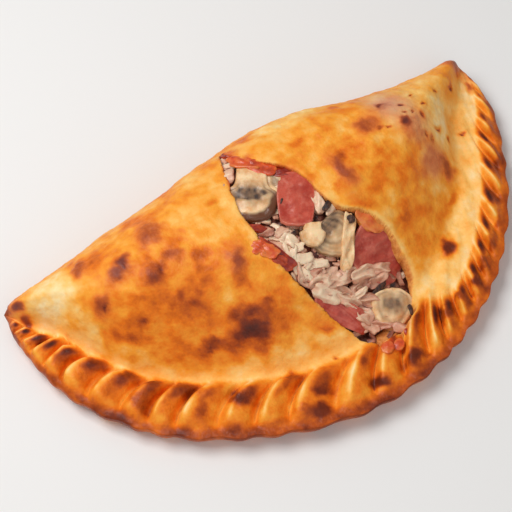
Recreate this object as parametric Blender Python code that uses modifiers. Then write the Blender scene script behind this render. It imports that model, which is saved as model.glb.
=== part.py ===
"""A folded and baked calzone, split open along the top so that its filling shows.

Metres, Z up. The chord of the half moon lies along X and the crimped edge faces -Y.
The origin is at the middle of the underside.
"""

import math
from dataclasses import dataclass

import bmesh
import bpy
import numpy as np
from mathutils import Matrix, Vector

MM = 0.001

# The half moon: a round base of about 300 mm, folded once.
HALF_LENGTH = 150 * MM
DOME_HEIGHT = 52 * MM
TIP_HEIGHT = 12 * MM
EDGE_HEIGHT = 13 * MM
SIDE_BULGE = 14 * MM
FOLD_ROUNDING = 35 * MM
RIM_ROUNDING = 10 * MM
FOOT_ROUNDING = 8 * MM
FLANGE_WIDTH = 32 * MM
TIP_START = 0.025
TIP_NOSE = 2.5 * MM

# How far the hand-shaped outline swells past the plain half moon, in mm,
# at these shares of the way from the left tip to the right tip.
RIM_AT = (0, 0.05, 0.12, 0.22, 0.36, 0.50, 0.64, 0.76, 0.86, 0.94, 1)
RIM_SWELL = (-2.5, -1.0, 2.4, 3.0, 0.2, 2.9, 2.2, 0.5, 0.9, 3.8, 0)
FOLD_AT = (0, 0.08, 0.20, 0.34, 0.48, 0.62, 0.76, 0.88, 1)
FOLD_BULGE = (0.5, 2.0, 6.0, 9.4, 15.5, 16.6, 7.0, 2.0, 2.0)

# The twisted edge: where each pleat crests, as a share of the rim, and its size.
CREST_AT = (0.035, 0.055, 0.078, 0.101, 0.127, 0.155, 0.193, 0.235, 0.264, 0.296,
            0.346, 0.385, 0.423, 0.483, 0.525, 0.565, 0.603, 0.627, 0.656, 0.687,
            0.720, 0.749, 0.785, 0.831, 0.870, 0.903, 0.935, 0.958)
CREST_HEIGHT = 6 * MM
CREST_SLANT = 0.05
CREST_MIDDLE = 0.75
PLEAT_TOP = 0.98
CREST_STEEP = 0.28
VALLEY_DEPTH = 3 * MM
VALLEY_AT = 1.12
BAND_REACH = 1.25

# From here to there along the rim the pleats draw back to its outer part.
NARROW_AT = (0.56, 0.66)
NARROW_TOP = 0.55
NARROW_VALLEY = 0.4
SCALLOP = 0.8 * MM

# Swellings and blisters of the dome: x, y, radius and height in mm.
SWELLINGS = ((-72, -36, 34, 2.5), (78, -34, 30, 2.0), (-16, 8, 16, -2.0),
             (-39, -88, 9, 1.8), (-86, -29, 9, 1.6), (-102, -10, 8, 1.2),
             (-77, -42, 8, 1.2), (83, -21, 10, 1.4), (64, -38, 8, 1.2),
             (89, -35, 8, 1.4), (41, -49, 8, 1.2), (-35, -58, 8, 1.2))

# The split across the top: the two lips, in mm, from the fold to the crimped edge.
GASH_Y = (-1, -10, -17, -26, -37, -45, -54, -60, -67, -76, -88, -102, -112, -120, -125)
LEFT_LIP_X = (-8, -11.5, -14, -17, -19.3, -20, -19.7, -19.3, -19, -17, -11.5, -6, -1, 3, 10)
RIGHT_LIP_X = (-4, 0.5, 7, 15.5, 21, 20.5, 19.5, 28, 43, 49, 52, 49.5, 44, 37, 24)
GASH_FLOOR = 6 * MM
GASH_TOP = 80 * MM

# The hollow under the dome, and the filling in it.
WALL = 4.5 * MM
FLOOR = 3.5 * MM
GAP = 0.35 * MM
HEAP_SINK = 1.4 * MM
HEAP_BUMP = 0.7 * MM

# Mesh fineness.
DOME_COLUMNS = 10
FLANGE_COLUMNS = 8
FOOT_COLUMNS = 3
CAVITY_COLUMNS = 13
CAVITY_STATIONS = ((0.07, 9), (0.43, 22), (0.64, 9), (0.93, 1))
SLICE_SIDES = 22

DOUGH = (0.72, 0.36, 0.12, 1.0)
HEAP_COLOUR = (0.55, 0.36, 0.26, 1.0)
MUSHROOM = (0.66, 0.56, 0.42, 1.0)
HAM = (0.52, 0.15, 0.13, 1.0)
TOMATO = (0.62, 0.12, 0.03, 1.0)


def smoothstep(x, low=0.0, high=1.0):
    """A soft step from 0 at low to 1 at high."""
    x = np.clip((x - low) / (high - low), 0, 1)
    return x * x * (3 - 2 * x)


def smooth_table(x, at, values):
    """A smooth curve through a short table of values."""
    at = np.asarray(at, float)
    values = np.asarray(values, float)
    step = np.diff(at)
    rise = np.diff(values) / step
    inner = (rise[:-1] * step[1:] + rise[1:] * step[:-1]) / (step[1:] + step[:-1])
    slope = np.concatenate([[rise[0]], inner, [rise[-1]]])
    i = np.clip(np.searchsorted(at, x, side="right") - 1, 0, len(step) - 1)
    t = (x - at[i]) / step[i]
    start = (1 + 2 * t) * (1 - t) ** 2 * values[i] + t * (1 - t) ** 2 * step[i] * slope[i]
    end = t * t * (3 - 2 * t) * values[i + 1] + t * t * (t - 1) * step[i] * slope[i + 1]
    return start + end


def rim_xy(s):
    """The crimped outline in plan, s from the left tip to the right tip."""
    radius = HALF_LENGTH + MM * smooth_table(s, RIM_AT, RIM_SWELL)
    return np.stack([-radius * np.cos(np.pi * s), -radius * np.sin(np.pi * s)], -1)


def fold_xy(s):
    """The folded edge in plan."""
    along = -HALF_LENGTH * (1 - 2 * s)
    return np.stack([along, MM * smooth_table(s, FOLD_AT, FOLD_BULGE)], -1)


def span(s):
    """Fold point, rim point and the distance between them."""
    fold = fold_xy(s)
    rim = rim_xy(s)
    return fold, rim, np.linalg.norm(rim - fold, axis=-1)


def flange_width(width):
    """Width of the crimped band, narrower toward the tips."""
    return np.minimum(FLANGE_WIDTH, 0.45 * width)


def lean_along(sigma, r):
    """Where a pleat line is along the rim, r band widths in from the rim."""
    calm = smoothstep(np.minimum(sigma, 1 - sigma), 0.0, 0.10)
    return sigma + CREST_SLANT * (r ** 2 - CREST_MIDDLE ** 2) * calm


def pleat_phase(sigma):
    """Whole numbers on the crests of the pleats."""
    marks = np.concatenate([[0.0], CREST_AT, [1.0]])
    return np.interp(sigma, marks, np.arange(len(marks)))


def pleats(sigma, r, band):
    """Height that the twisted pleats add: plump crests with sharp creases between."""
    part = pleat_phase(sigma) % 1.0
    off_crest = np.minimum(part / (1 - CREST_STEEP), (1 - part) / CREST_STEEP)
    wave = 0.6 - off_crest ** 1.7
    right = smoothstep(sigma, *NARROW_AT)
    top = PLEAT_TOP + (NARROW_TOP - PLEAT_TOP) * right
    cover = smoothstep(r, 0.06, 0.38) * (1 - smoothstep(r, top - 0.18, top + 0.17))
    size = CREST_HEIGHT * np.clip(band / FLANGE_WIDTH, 0.35, 1.0)
    valley = VALLEY_DEPTH * np.exp(-((r - VALLEY_AT) / 0.17) ** 2) * band / FLANGE_WIDTH
    return size * wave * cover - valley * (1 - (1 - NARROW_VALLEY) * right)


def plain_height(s, d, width):
    """Height of the smooth shape at distance d from the fold."""
    swell = np.sin(np.pi * s)
    foot = width - flange_width(width)
    high = TIP_HEIGHT + (DOME_HEIGHT - TIP_HEIGHT) * swell ** 0.55
    crown = 0.38 * foot
    fall = 0.5 + 0.5 * np.cos(np.pi * np.clip((d - crown) / (foot - crown), 0, 1) ** 1.45)
    z = np.maximum(EDGE_HEIGHT + (high - EDGE_HEIGHT) * fall, EDGE_HEIGHT)
    back = np.clip(d / np.minimum(FOLD_ROUNDING, 0.4 * width), 0, 1)
    front = np.clip((width - d) / np.minimum(RIM_ROUNDING, 0.3 * width), 0, 1)
    side = SIDE_BULGE * (0.5 + 0.5 * swell)
    round_off = np.sqrt(1 - (1 - back) ** 2) * np.sqrt(1 - (1 - front) ** 2)
    return side + (z - side) * round_off


def swellings(xy, d, width):
    """The dome's slow swellings and blisters."""
    add = np.zeros(xy.shape[:-1])
    for x, y, radius, height in SWELLINGS:
        gap = ((xy[..., 0] / MM - x) ** 2 + (xy[..., 1] / MM - y) ** 2) / radius ** 2
        add += height * MM * np.exp(-gap)
    inside = smoothstep(width - d, 0.8 * FLANGE_WIDTH, 1.3 * FLANGE_WIDTH)
    return add * inside * smoothstep(d, 0.0, 0.02)


def smooth_skin(s, d):
    """Points of the skin without its pleats."""
    fold, rim, width = span(s)
    xy = fold + (rim - fold) * (d / width)[..., None]
    return np.concatenate([xy, plain_height(s, d, width)[..., None]], -1)


def skin(sigma, s, d):
    """Points of the outer skin at station s; sigma is the pleat line they lie on."""
    fold, rim, width = span(s)
    band = flange_width(width)
    r = (width - d) / band
    outward = (rim - fold) / width[..., None]
    ripple = np.cos(2 * np.pi * (pleat_phase(sigma) - 0.25)) * (1 - smoothstep(r, 0.0, 0.6))
    ripple = SCALLOP * ripple * band / FLANGE_WIDTH
    xy = fold + outward * (d + ripple)[..., None]
    z = plain_height(s, d, width) + pleats(sigma, r, band) + swellings(xy, d, width)
    return np.concatenate([xy, z[..., None]], -1)


def gash_side(y, table):
    """X of one lip of the split at this y."""
    return MM * smooth_table(-y / MM, [-v for v in GASH_Y], table)


def in_gash(x, y, margin):
    """1 inside the split, 0 outside, with a soft border of the given width."""
    y_in = np.clip(y, GASH_Y[-1] * MM, GASH_Y[0] * MM)
    left = smoothstep(x - gash_side(y_in, LEFT_LIP_X), -margin, 0.5 * margin)
    right = smoothstep(gash_side(y_in, RIGHT_LIP_X) - x, -margin, 0.5 * margin)
    ends = smoothstep(GASH_Y[0] * MM - y, -margin, 0.5 * margin)
    return left * right * ends * smoothstep(y - GASH_Y[-1] * MM, -margin, 0.5 * margin)


def loft(name, rings, noses=None):
    """Join closed rings of points into one solid; noses are the two end points."""
    bm = bmesh.new()
    rows = [[bm.verts.new(point) for point in ring] for ring in rings]
    for row, after in zip(rows, rows[1:]):
        for i, vert in enumerate(row):
            j = (i + 1) % len(row)
            bm.faces.new((vert, row[j], after[j], after[i]))
    for row, nose in zip((rows[0], rows[-1]), noses or (None, None)):
        if nose is None:
            bm.faces.new(row)
            continue
        tip = bm.verts.new(nose)
        for i, vert in enumerate(row):
            bm.faces.new((vert, row[(i + 1) % len(row)], tip))
    bmesh.ops.recalc_face_normals(bm, faces=bm.faces)
    bmesh.ops.triangulate(bm, faces=bm.faces)
    return as_object(name, bm)


def as_object(name, bm):
    """Turn a bmesh into a linked object."""
    mesh = bpy.data.meshes.new(name)
    bm.to_mesh(mesh)
    bm.free()
    obj = bpy.data.objects.new(name, mesh)
    bpy.context.scene.collection.objects.link(obj)
    return obj


def bake(obj):
    """Apply an object's modifiers."""
    depsgraph = bpy.context.evaluated_depsgraph_get()
    mesh = bpy.data.meshes.new_from_object(obj.evaluated_get(depsgraph))
    obj.modifiers.clear()
    obj.data = mesh
    return obj


def combine(obj, other, operation, solver="MANIFOLD"):
    """Apply one Boolean to an object."""
    cut = obj.modifiers.new(operation.lower(), "BOOLEAN")
    cut.operation = operation
    cut.solver = solver
    cut.object = other
    return bake(obj)


def keep_largest(obj):
    """Drop the loose scraps that a cut leaves."""
    bm = bmesh.new()
    bm.from_mesh(obj.data)
    left = set(bm.verts)
    groups = []
    while left:
        stack = [left.pop()]
        group = set(stack)
        while stack:
            for edge in stack.pop().link_edges:
                for vert in edge.verts:
                    if vert in left:
                        left.remove(vert)
                        group.add(vert)
                        stack.append(vert)
        groups.append(group)
    groups.sort(key=len, reverse=True)
    for group in groups[1:]:
        bmesh.ops.delete(bm, geom=list(group), context="VERTS")
    bm.to_mesh(obj.data)
    bm.free()
    return obj


def crust_stations():
    """Pleat lines of the mesh: the crests, the creases and some between."""
    parts = np.array([0, 1 / 3, 2 / 3, 1, 1 + 0.5 * CREST_STEEP / (1 - CREST_STEEP)])
    lines = [np.linspace(TIP_START, CREST_AT[0], 4)[:-1]]
    for here, after in zip(CREST_AT, CREST_AT[1:]):
        lines.append(here + (after - here) * (1 - CREST_STEEP) * parts)
    lines.append(np.linspace(CREST_AT[-1], 1 - TIP_START, 4))
    return np.concatenate(lines)


def crust_ring(sigma):
    """One closed section of the outer crust, from the fold over the top and back."""
    u = np.linspace(0, 1, DOME_COLUMNS)
    w = np.linspace(0, 1, FLANGE_COLUMNS + 1)[1:]
    k = np.sin(np.linspace(0, 0.5 * np.pi, FOOT_COLUMNS + 1)[1:])
    dome_r = CREST_MIDDLE + (BAND_REACH - CREST_MIDDLE) * u ** 2
    band_r = BAND_REACH * (1 - w) ** 1.25
    lean = lean_along(sigma, np.concatenate([dome_r, band_r]))
    _, _, width = span(lean)
    band = flange_width(width)
    part = 0.55 * (1 - np.cos(0.5 * np.pi * u)) + 0.45 * u
    d = width - np.concatenate([BAND_REACH * np.ones(DOME_COLUMNS), band_r]) * band
    d[:DOME_COLUMNS] *= part
    top = skin(np.full(d.shape, sigma), lean, d)
    under = []
    for at, edge in ((lean[-1], 1.0), (lean[0], 0.0)):
        reach = min(FOOT_ROUNDING, 0.3 * float(span(np.array([at]))[2][0]))
        foot = reach * (1 - np.sqrt(1 - k ** 2))
        station = np.full(k.shape, at)
        d_under = foot if edge == 0.0 else span(station)[2] - foot
        points = skin(np.full(k.shape, sigma), station, d_under)
        side = SIDE_BULGE * (0.5 + 0.5 * math.sin(math.pi * at))
        points[:, 2] = side * (1 - k)
        under.append(points)
    return np.concatenate([top, under[0], under[1][::-1]])


def build_outer():
    """The whole calzone as one closed shape."""
    rings = [crust_ring(sigma) for sigma in crust_stations()]
    noses = [ring.mean(axis=0) for ring in (rings[0], rings[-1])]
    noses[0][0] -= TIP_NOSE
    noses[1][0] += TIP_NOSE
    return loft("crust", rings, noses)


def inner_ring(s, inset, heap=False):
    """One section of the hollow; the filling is the same shape, drawn in by inset."""
    _, _, width = span(np.array([s]))
    width = float(width[0])
    band = float(flange_width(width))
    near = WALL + 1.5 * MM + inset
    far = width - VALLEY_AT * band - inset
    u = np.linspace(0, 1, CAVITY_COLUMNS)
    d = near + (far - near) * (0.6 * u + 0.4 * u * u)
    at = np.full(d.shape, s)
    points = skin(at, at, d)
    step = 0.5 * MM
    slope = (skin(at, at, d + step)[:, 2] - skin(at, at, d - step)[:, 2]) / (2 * step)
    drop = (WALL + inset) * np.minimum(np.sqrt(1 + slope ** 2), 2.0)
    floor = FLOOR + inset
    points[:, 2] -= drop
    if heap:
        points[:, 2] -= heap_sink(points)
    points[:, 2] = np.maximum(points[:, 2], FLOOR + 2 * MM - inset)
    under = points[::-1][[0, CAVITY_COLUMNS // 2, -1]].copy()
    under[:, 2] = floor
    return np.concatenate([points, under])


def heap_sink(points):
    """How far the filling lies below the hollow's roof, where the split shows it."""
    x, y = points[:, 0], points[:, 1]
    lumps = np.sin(x / (2.1 * MM) + 0.8) * np.sin(y / (2.6 * MM)) + np.sin((x + y) / (3.3 * MM))
    return in_gash(x, y, 3 * MM) * (HEAP_SINK + HEAP_BUMP * lumps)


def build_hollow(name, inset, heap=False):
    """The space under the dome, or the filling when it is drawn in by the gap."""
    stations = [np.linspace(here, after, count, endpoint=False) for (here, count), (after, _)
                in zip(CAVITY_STATIONS, CAVITY_STATIONS[1:])]
    stations = np.concatenate(stations + [[CAVITY_STATIONS[-1][0]]])
    trim = 2 * inset / (math.pi * HALF_LENGTH)
    stations[0] += trim
    stations[-1] -= trim
    return loft(name, [inner_ring(s, inset, heap) for s in stations])


def build_gash(name, inset, floor):
    """An upright prism with the outline of the split."""
    y = np.linspace(GASH_Y[0] * MM - inset, GASH_Y[-1] * MM + inset, 26)
    left = gash_side(y, LEFT_LIP_X) + inset
    right = np.maximum(gash_side(y, RIGHT_LIP_X) - inset, left + 0.5 * MM)
    outline = list(zip(left, y)) + list(zip(right[::-1], y[::-1]))
    rings = [[(px, py, z) for px, py in outline] for z in (floor, GASH_TOP)]
    return loft(name, rings)


@dataclass
class Spot:
    """A place in the split: s and q on the dome, depth under it, turn and tilt."""

    s: float
    q: float
    depth: float
    turn: float
    lean: float = 0.0
    roll: float = 0.0

    def matrix(self):
        """Frame with Z along the dome's normal and X turned in plan."""
        s = np.array([self.s])
        _, _, width = span(s)
        d = self.q * width
        here = smooth_skin(s, d)[0]
        along = smooth_skin(s + 0.01, d)[0] - smooth_skin(s - 0.01, d)[0]
        across = smooth_skin(s, d + 2 * MM)[0] - smooth_skin(s, d - 2 * MM)[0]
        normal = Vector(np.cross(across, along)).normalized()
        if normal.z < 0:
            normal.negate()
        ahead = Vector((math.cos(math.radians(self.turn)), math.sin(math.radians(self.turn)), 0))
        side = normal.cross(ahead).normalized()
        ahead = side.cross(normal)
        frame = Matrix((ahead, side, normal)).transposed().to_4x4()
        tip = Matrix.Rotation(math.radians(self.lean), 4, "X") @ Matrix.Rotation(
            math.radians(self.roll), 4, "Y")
        return Matrix.Translation(Vector(here) - normal * self.depth * MM) @ frame @ tip


def slice_radius(angle, cap, stem_width, stem_length):
    """Outline of a mushroom cut lengthwise, as a distance from under its cap."""
    side = np.sin(angle)
    up = np.cos(angle)
    flat = 0.42 if up < 0 else 1.0
    radius = cap / math.hypot(side, up / flat)
    if up < 0 and stem_length > 0:
        radius = max(radius, min(stem_length / -up, stem_width / max(abs(side), 1e-6)))
    return radius


def build_mushroom(name, spot, cap, thick, stem_width=0.0, stem_length=0.0, grow=0.0, squash=1.0):
    """A slice of mushroom: a cap with a stub of stem, gently bent."""
    bm = bmesh.new()
    bmesh.ops.create_cone(bm, cap_ends=True, cap_tris=True, segments=SLICE_SIDES,
                          radius1=1.0, radius2=1.0, depth=thick * MM + 2 * grow)
    for vert in bm.verts:
        x, y, z = vert.co
        far = math.hypot(x, y)
        if far > 1e-6:
            angle = math.atan2(x, y)
            reach = slice_radius(angle, cap * MM, stem_width * MM, stem_length * MM) + grow
            x, y = x * reach, y * reach * squash
        vert.co = (x, y, z - 6.0 * (x * x + y * y))
    bm.transform(spot.matrix())
    return as_object(name, bm)


def build_sheet(name, spot, length, width, thick, wave=1.2, turns=1.3, taper=0.0, grow=0.0,
                cells=(8, 5)):
    """A thin wavy slice with rounded corners."""
    bm = bmesh.new()
    bmesh.ops.create_grid(bm, x_segments=cells[0], y_segments=cells[1], size=1.0)
    long_half = 0.5 * length * MM + grow
    wide_half = 0.5 * width * MM + grow
    for vert in bm.verts:
        u, v = vert.co.x, vert.co.y
        corner = 1.0 - 0.18 * (u * v) ** 2
        narrow = 1.0 - taper * 0.5 * (1 + u)
        x = long_half * u * corner
        y = wide_half * v * corner * narrow
        z = wave * MM * math.sin(turns * math.pi * u + 0.9 * v) - 0.4 * wave * MM * v * v
        vert.co = (x, y, z)
    sheet = as_object(name, bm)
    solid = sheet.modifiers.new("thickness", "SOLIDIFY")
    solid.thickness = thick * MM + 2 * grow
    solid.offset = 0.0
    bake(sheet)
    sheet.data.transform(spot.matrix())
    return sheet


# The pieces that show in the split, the uppermost first: maker, place and sizes in mm.
TOPPINGS = (
    ("ham_1", HAM, build_sheet, Spot(0.529, 0.358, 4.0, 58),
     dict(length=33, width=20, thick=2.2, wave=1.0)),
    ("mushroom_1", MUSHROOM, build_mushroom, Spot(0.476, 0.268, 4.6, 146),
     dict(cap=15.5, thick=5.0, stem_width=5.0, stem_length=19)),
    ("mushroom_3", MUSHROOM, build_mushroom, Spot(0.521, 0.482, 3.2, 150),
     dict(cap=7.0, thick=5.0, stem_width=6.0, stem_length=6.5)),
    ("mushroom_5", MUSHROOM, build_sheet, Spot(0.558, 0.565, 4.0, 58),
     dict(length=27, width=7, thick=5.0, wave=0.8, cells=(6, 2))),
    ("mushroom_4", MUSHROOM, build_mushroom, Spot(0.547, 0.500, 5.8, 150),
     dict(cap=13.5, thick=4.5, squash=1.25)),
    ("tomato_1", TOMATO, build_sheet, Spot(0.603, 0.543, 3.2, 118),
     dict(length=17, width=12, thick=4.0, wave=0.7, cells=(6, 4))),
    ("ham_2", HAM, build_sheet, Spot(0.604, 0.624, 4.0, 40),
     dict(length=38, width=30, thick=2.4, wave=1.4)),
    ("mushroom_6", MUSHROOM, build_mushroom, Spot(0.562, 0.748, 3.4, 150),
     dict(cap=13.5, thick=4.5, squash=1.1)),
    ("ham_3", HAM, build_sheet, Spot(0.505, 0.700, 4.2, -64),
     dict(length=34, width=11, thick=2.4, wave=0.8, cells=(8, 3))),
    ("tomato_2", TOMATO, build_sheet, Spot(0.454, 0.478, 4.0, -72),
     dict(length=25, width=11, thick=3.2, wave=0.8, cells=(6, 3))),
    ("mushroom_2", MUSHROOM, build_mushroom, Spot(0.528, 0.268, 5.6, 100),
     dict(cap=9.0, thick=3.6)),
)

# Shreds of ham and mushroom, part of the heap: place, then length and width in mm.
SHRED_THICK = 6.0
SHREDS = (
    (Spot(0.497, 0.500, 4.2, 60), 12, 5), (Spot(0.486, 0.470, 4.4, 100), 10, 5),
    (Spot(0.482, 0.520, 4.6, 60), 11, 5), (Spot(0.500, 0.425, 4.8, 20), 12, 6),
    (Spot(0.479, 0.556, 4.6, 75), 12, 5), (Spot(0.504, 0.560, 4.6, 0), 14, 7),
    (Spot(0.500, 0.604, 4.4, -20), 13, 8), (Spot(0.521, 0.612, 3.8, -60), 20, 8),
    (Spot(0.538, 0.640, 4.2, -45), 19, 8), (Spot(0.551, 0.676, 3.8, 20), 14, 5),
    (Spot(0.566, 0.676, 4.4, -50), 15, 7), (Spot(0.539, 0.690, 4.4, -50), 17, 7),
    (Spot(0.519, 0.664, 4.2, -60), 17, 8),
)


def build_toppings(opening):
    """Each topping, clear of the lips and of the toppings over it."""
    placed = []
    swollen = []
    for name, colour, maker, spot, sizes in TOPPINGS:
        piece = maker(name, spot, **sizes)
        combine(piece, opening, "INTERSECT")
        for other in swollen:
            combine(piece, other, "DIFFERENCE")
        keep_largest(piece)
        placed.append((piece, colour))
        swollen.append(maker(name + "_room", spot, grow=GAP, **sizes))
    return placed, swollen


def build_heap(opening, swollen):
    """The filling through the whole calzone, with its shreds fused on."""
    heap = build_hollow("filling", GAP, heap=True)
    for spot, length, width in SHREDS:
        shred = build_sheet("shred", spot, length, width, SHRED_THICK, wave=0.6, cells=(3, 1))
        combine(shred, opening, "INTERSECT")
        combine(heap, shred, "UNION")
        bpy.data.objects.remove(shred)
    for other in swollen:
        combine(heap, other, "DIFFERENCE")
    return keep_largest(heap)


def give_material(obj, colour, roughness):
    """One Principled material for one part."""
    material = bpy.data.materials.new(obj.name)
    material.use_nodes = True
    shader = material.node_tree.nodes["Principled BSDF"]
    shader.inputs["Base Color"].default_value = colour
    shader.inputs["Roughness"].default_value = roughness
    shader.inputs["Metallic"].default_value = 0.0
    obj.data.materials.clear()
    obj.data.materials.append(material)
    obj.data.shade_smooth()
    obj.data.set_sharp_from_angle(angle=math.radians(40))


def move_to(obj, collection):
    """Keep an object in one collection only."""
    for owner in list(obj.users_collection):
        owner.objects.unlink(obj)
    collection.objects.link(obj)


def main():
    """Build the calzone and set its origin."""
    for obj in list(bpy.data.objects):
        bpy.data.objects.remove(obj)
    parts = bpy.data.collections.new("calzone")
    cutters = bpy.data.collections.new("calzone cutters")
    for collection in (parts, cutters):
        bpy.context.scene.collection.children.link(collection)

    crust = build_outer()
    corners = np.array([vert.co for vert in crust.data.vertices])
    middle = 0.5 * (corners.min(axis=0) + corners.max(axis=0))
    cavity = build_hollow("cavity_cutter", 0.0)
    gash = build_gash("gash_cutter", 0.0, GASH_FLOOR)
    opening = build_gash("opening_guide", 0.5 * MM, GASH_FLOOR + GAP)
    combine(crust, cavity, "DIFFERENCE")
    combine(crust, gash, "DIFFERENCE")
    keep_largest(crust)
    toppings, swollen = build_toppings(opening)
    heap = build_heap(opening, swollen)

    shift = Matrix.Translation((-middle[0], -middle[1], 0.0))
    for obj, colour in [(crust, DOUGH), (heap, HEAP_COLOUR)] + toppings:
        obj.data.transform(shift)
        give_material(obj, colour, 0.55 if obj is crust else 0.4)
        move_to(obj, parts)
    for obj in [cavity, gash, opening] + swollen:
        obj.data.transform(shift)
        obj.hide_render = True
        obj.display_type = "WIRE"
        move_to(obj, cutters)


main()
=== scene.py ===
"""The looks of a baked calzone, split open over ham, mushrooms and tomato.

Metres, Z up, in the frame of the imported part. The chord of the half moon lies along X and
the twisted edge faces -Y. Lengths named in mm are multiplied by MM where they are used.
"""

import logging
import math
import random
from dataclasses import dataclass
from enum import Enum
from typing import Callable, Optional, Sequence

import bmesh
import bpy
import numpy as np
from mathutils import Matrix, Vector, noise


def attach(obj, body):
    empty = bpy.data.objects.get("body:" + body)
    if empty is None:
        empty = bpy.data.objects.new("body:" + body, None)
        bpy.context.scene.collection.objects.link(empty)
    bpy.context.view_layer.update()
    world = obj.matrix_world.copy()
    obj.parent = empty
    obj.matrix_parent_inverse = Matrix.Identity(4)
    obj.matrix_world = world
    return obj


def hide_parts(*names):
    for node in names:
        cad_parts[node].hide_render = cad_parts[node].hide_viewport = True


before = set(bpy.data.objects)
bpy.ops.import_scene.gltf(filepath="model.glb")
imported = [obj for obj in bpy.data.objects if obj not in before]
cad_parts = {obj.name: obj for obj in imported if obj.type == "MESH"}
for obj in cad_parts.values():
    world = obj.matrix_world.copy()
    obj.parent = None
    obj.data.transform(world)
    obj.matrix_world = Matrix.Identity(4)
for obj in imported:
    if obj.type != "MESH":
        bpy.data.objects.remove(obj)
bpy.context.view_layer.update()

MM = 0.001
LOG = logging.getLogger("calzone")

Socket = bpy.types.NodeSocket
Colour = tuple[float, float, float]


class Slot(Enum):
    """The record's material slots."""

    CRUST = "crust"
    FILLING = "filling"
    MUSHROOM = "mushroom"
    HAM = "ham"
    TOMATO = "tomato"


def srgb(red: int, green: int, blue: int) -> Colour:
    """A screen colour, 0 to 255, as a linear one."""
    return tuple((v / 255 / 12.92) if v < 11 else ((v / 255 + 0.055) / 1.055) ** 2.4
                 for v in (red, green, blue))


def smoothstep(x: np.ndarray, low: float = 0.0, high: float = 1.0) -> np.ndarray:
    """A soft step from 0 at low to 1 at high."""
    x = np.clip((np.asarray(x, float) - low) / (high - low), 0, 1)
    return x * x * (3 - 2 * x)


def smooth_table(x: np.ndarray, at: Sequence[float], values: Sequence[float]) -> np.ndarray:
    """A smooth curve through a short table of values.

    Args:
        x: where the curve is wanted.
        at: the table's places, rising.
        values: the table's values there.

    Returns:
        The curve's values at x.
    """
    at = np.asarray(at, float)
    values = np.asarray(values, float)
    step = np.diff(at)
    rise = np.diff(values) / step
    inner = (rise[:-1] * step[1:] + rise[1:] * step[:-1]) / (step[1:] + step[:-1])
    slope = np.concatenate([[rise[0]], inner, [rise[-1]]])
    i = np.clip(np.searchsorted(at, x, side="right") - 1, 0, len(step) - 1)
    t = (x - at[i]) / step[i]
    start = (1 + 2 * t) * (1 - t) ** 2 * values[i] + t * (1 - t) ** 2 * step[i] * slope[i]
    end = t * t * (3 - 2 * t) * values[i + 1] + t * t * (t - 1) * step[i] * slope[i + 1]
    return start + end


def cloud(points: np.ndarray, size: float, octaves: int = 3, seed: float = 0.0) -> np.ndarray:
    """Cloudy values of about -1 to 1 at many points.

    Args:
        points: rows of x, y, z.
        size: the size of the largest clouds, in the points' own unit.
        octaves: how many finer layers are added.
        seed: another number gives other clouds.

    Returns:
        One value a point.
    """
    shift = Vector((17.3 * seed, -9.1 * seed, 5.7 * seed))
    scaled = np.asarray(points, float) / size
    return np.array([noise.fractal(Vector(p) + shift, 1.0, 2.0, octaves) for p in scaled]) * 1.6


# Shape: where things are on the half moon.


@dataclass
class Place:
    """Where many points lie on the half moon."""

    s: np.ndarray
    d: np.ndarray
    width: np.ndarray
    band: np.ndarray
    sigma: np.ndarray

    @property
    def q(self) -> np.ndarray:
        """Share of the way from the fold to the rim."""
        return self.d / self.width

    @property
    def r(self) -> np.ndarray:
        """Distance from the rim in widths of the twisted band."""
        return (self.width - self.d) / self.band


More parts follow.
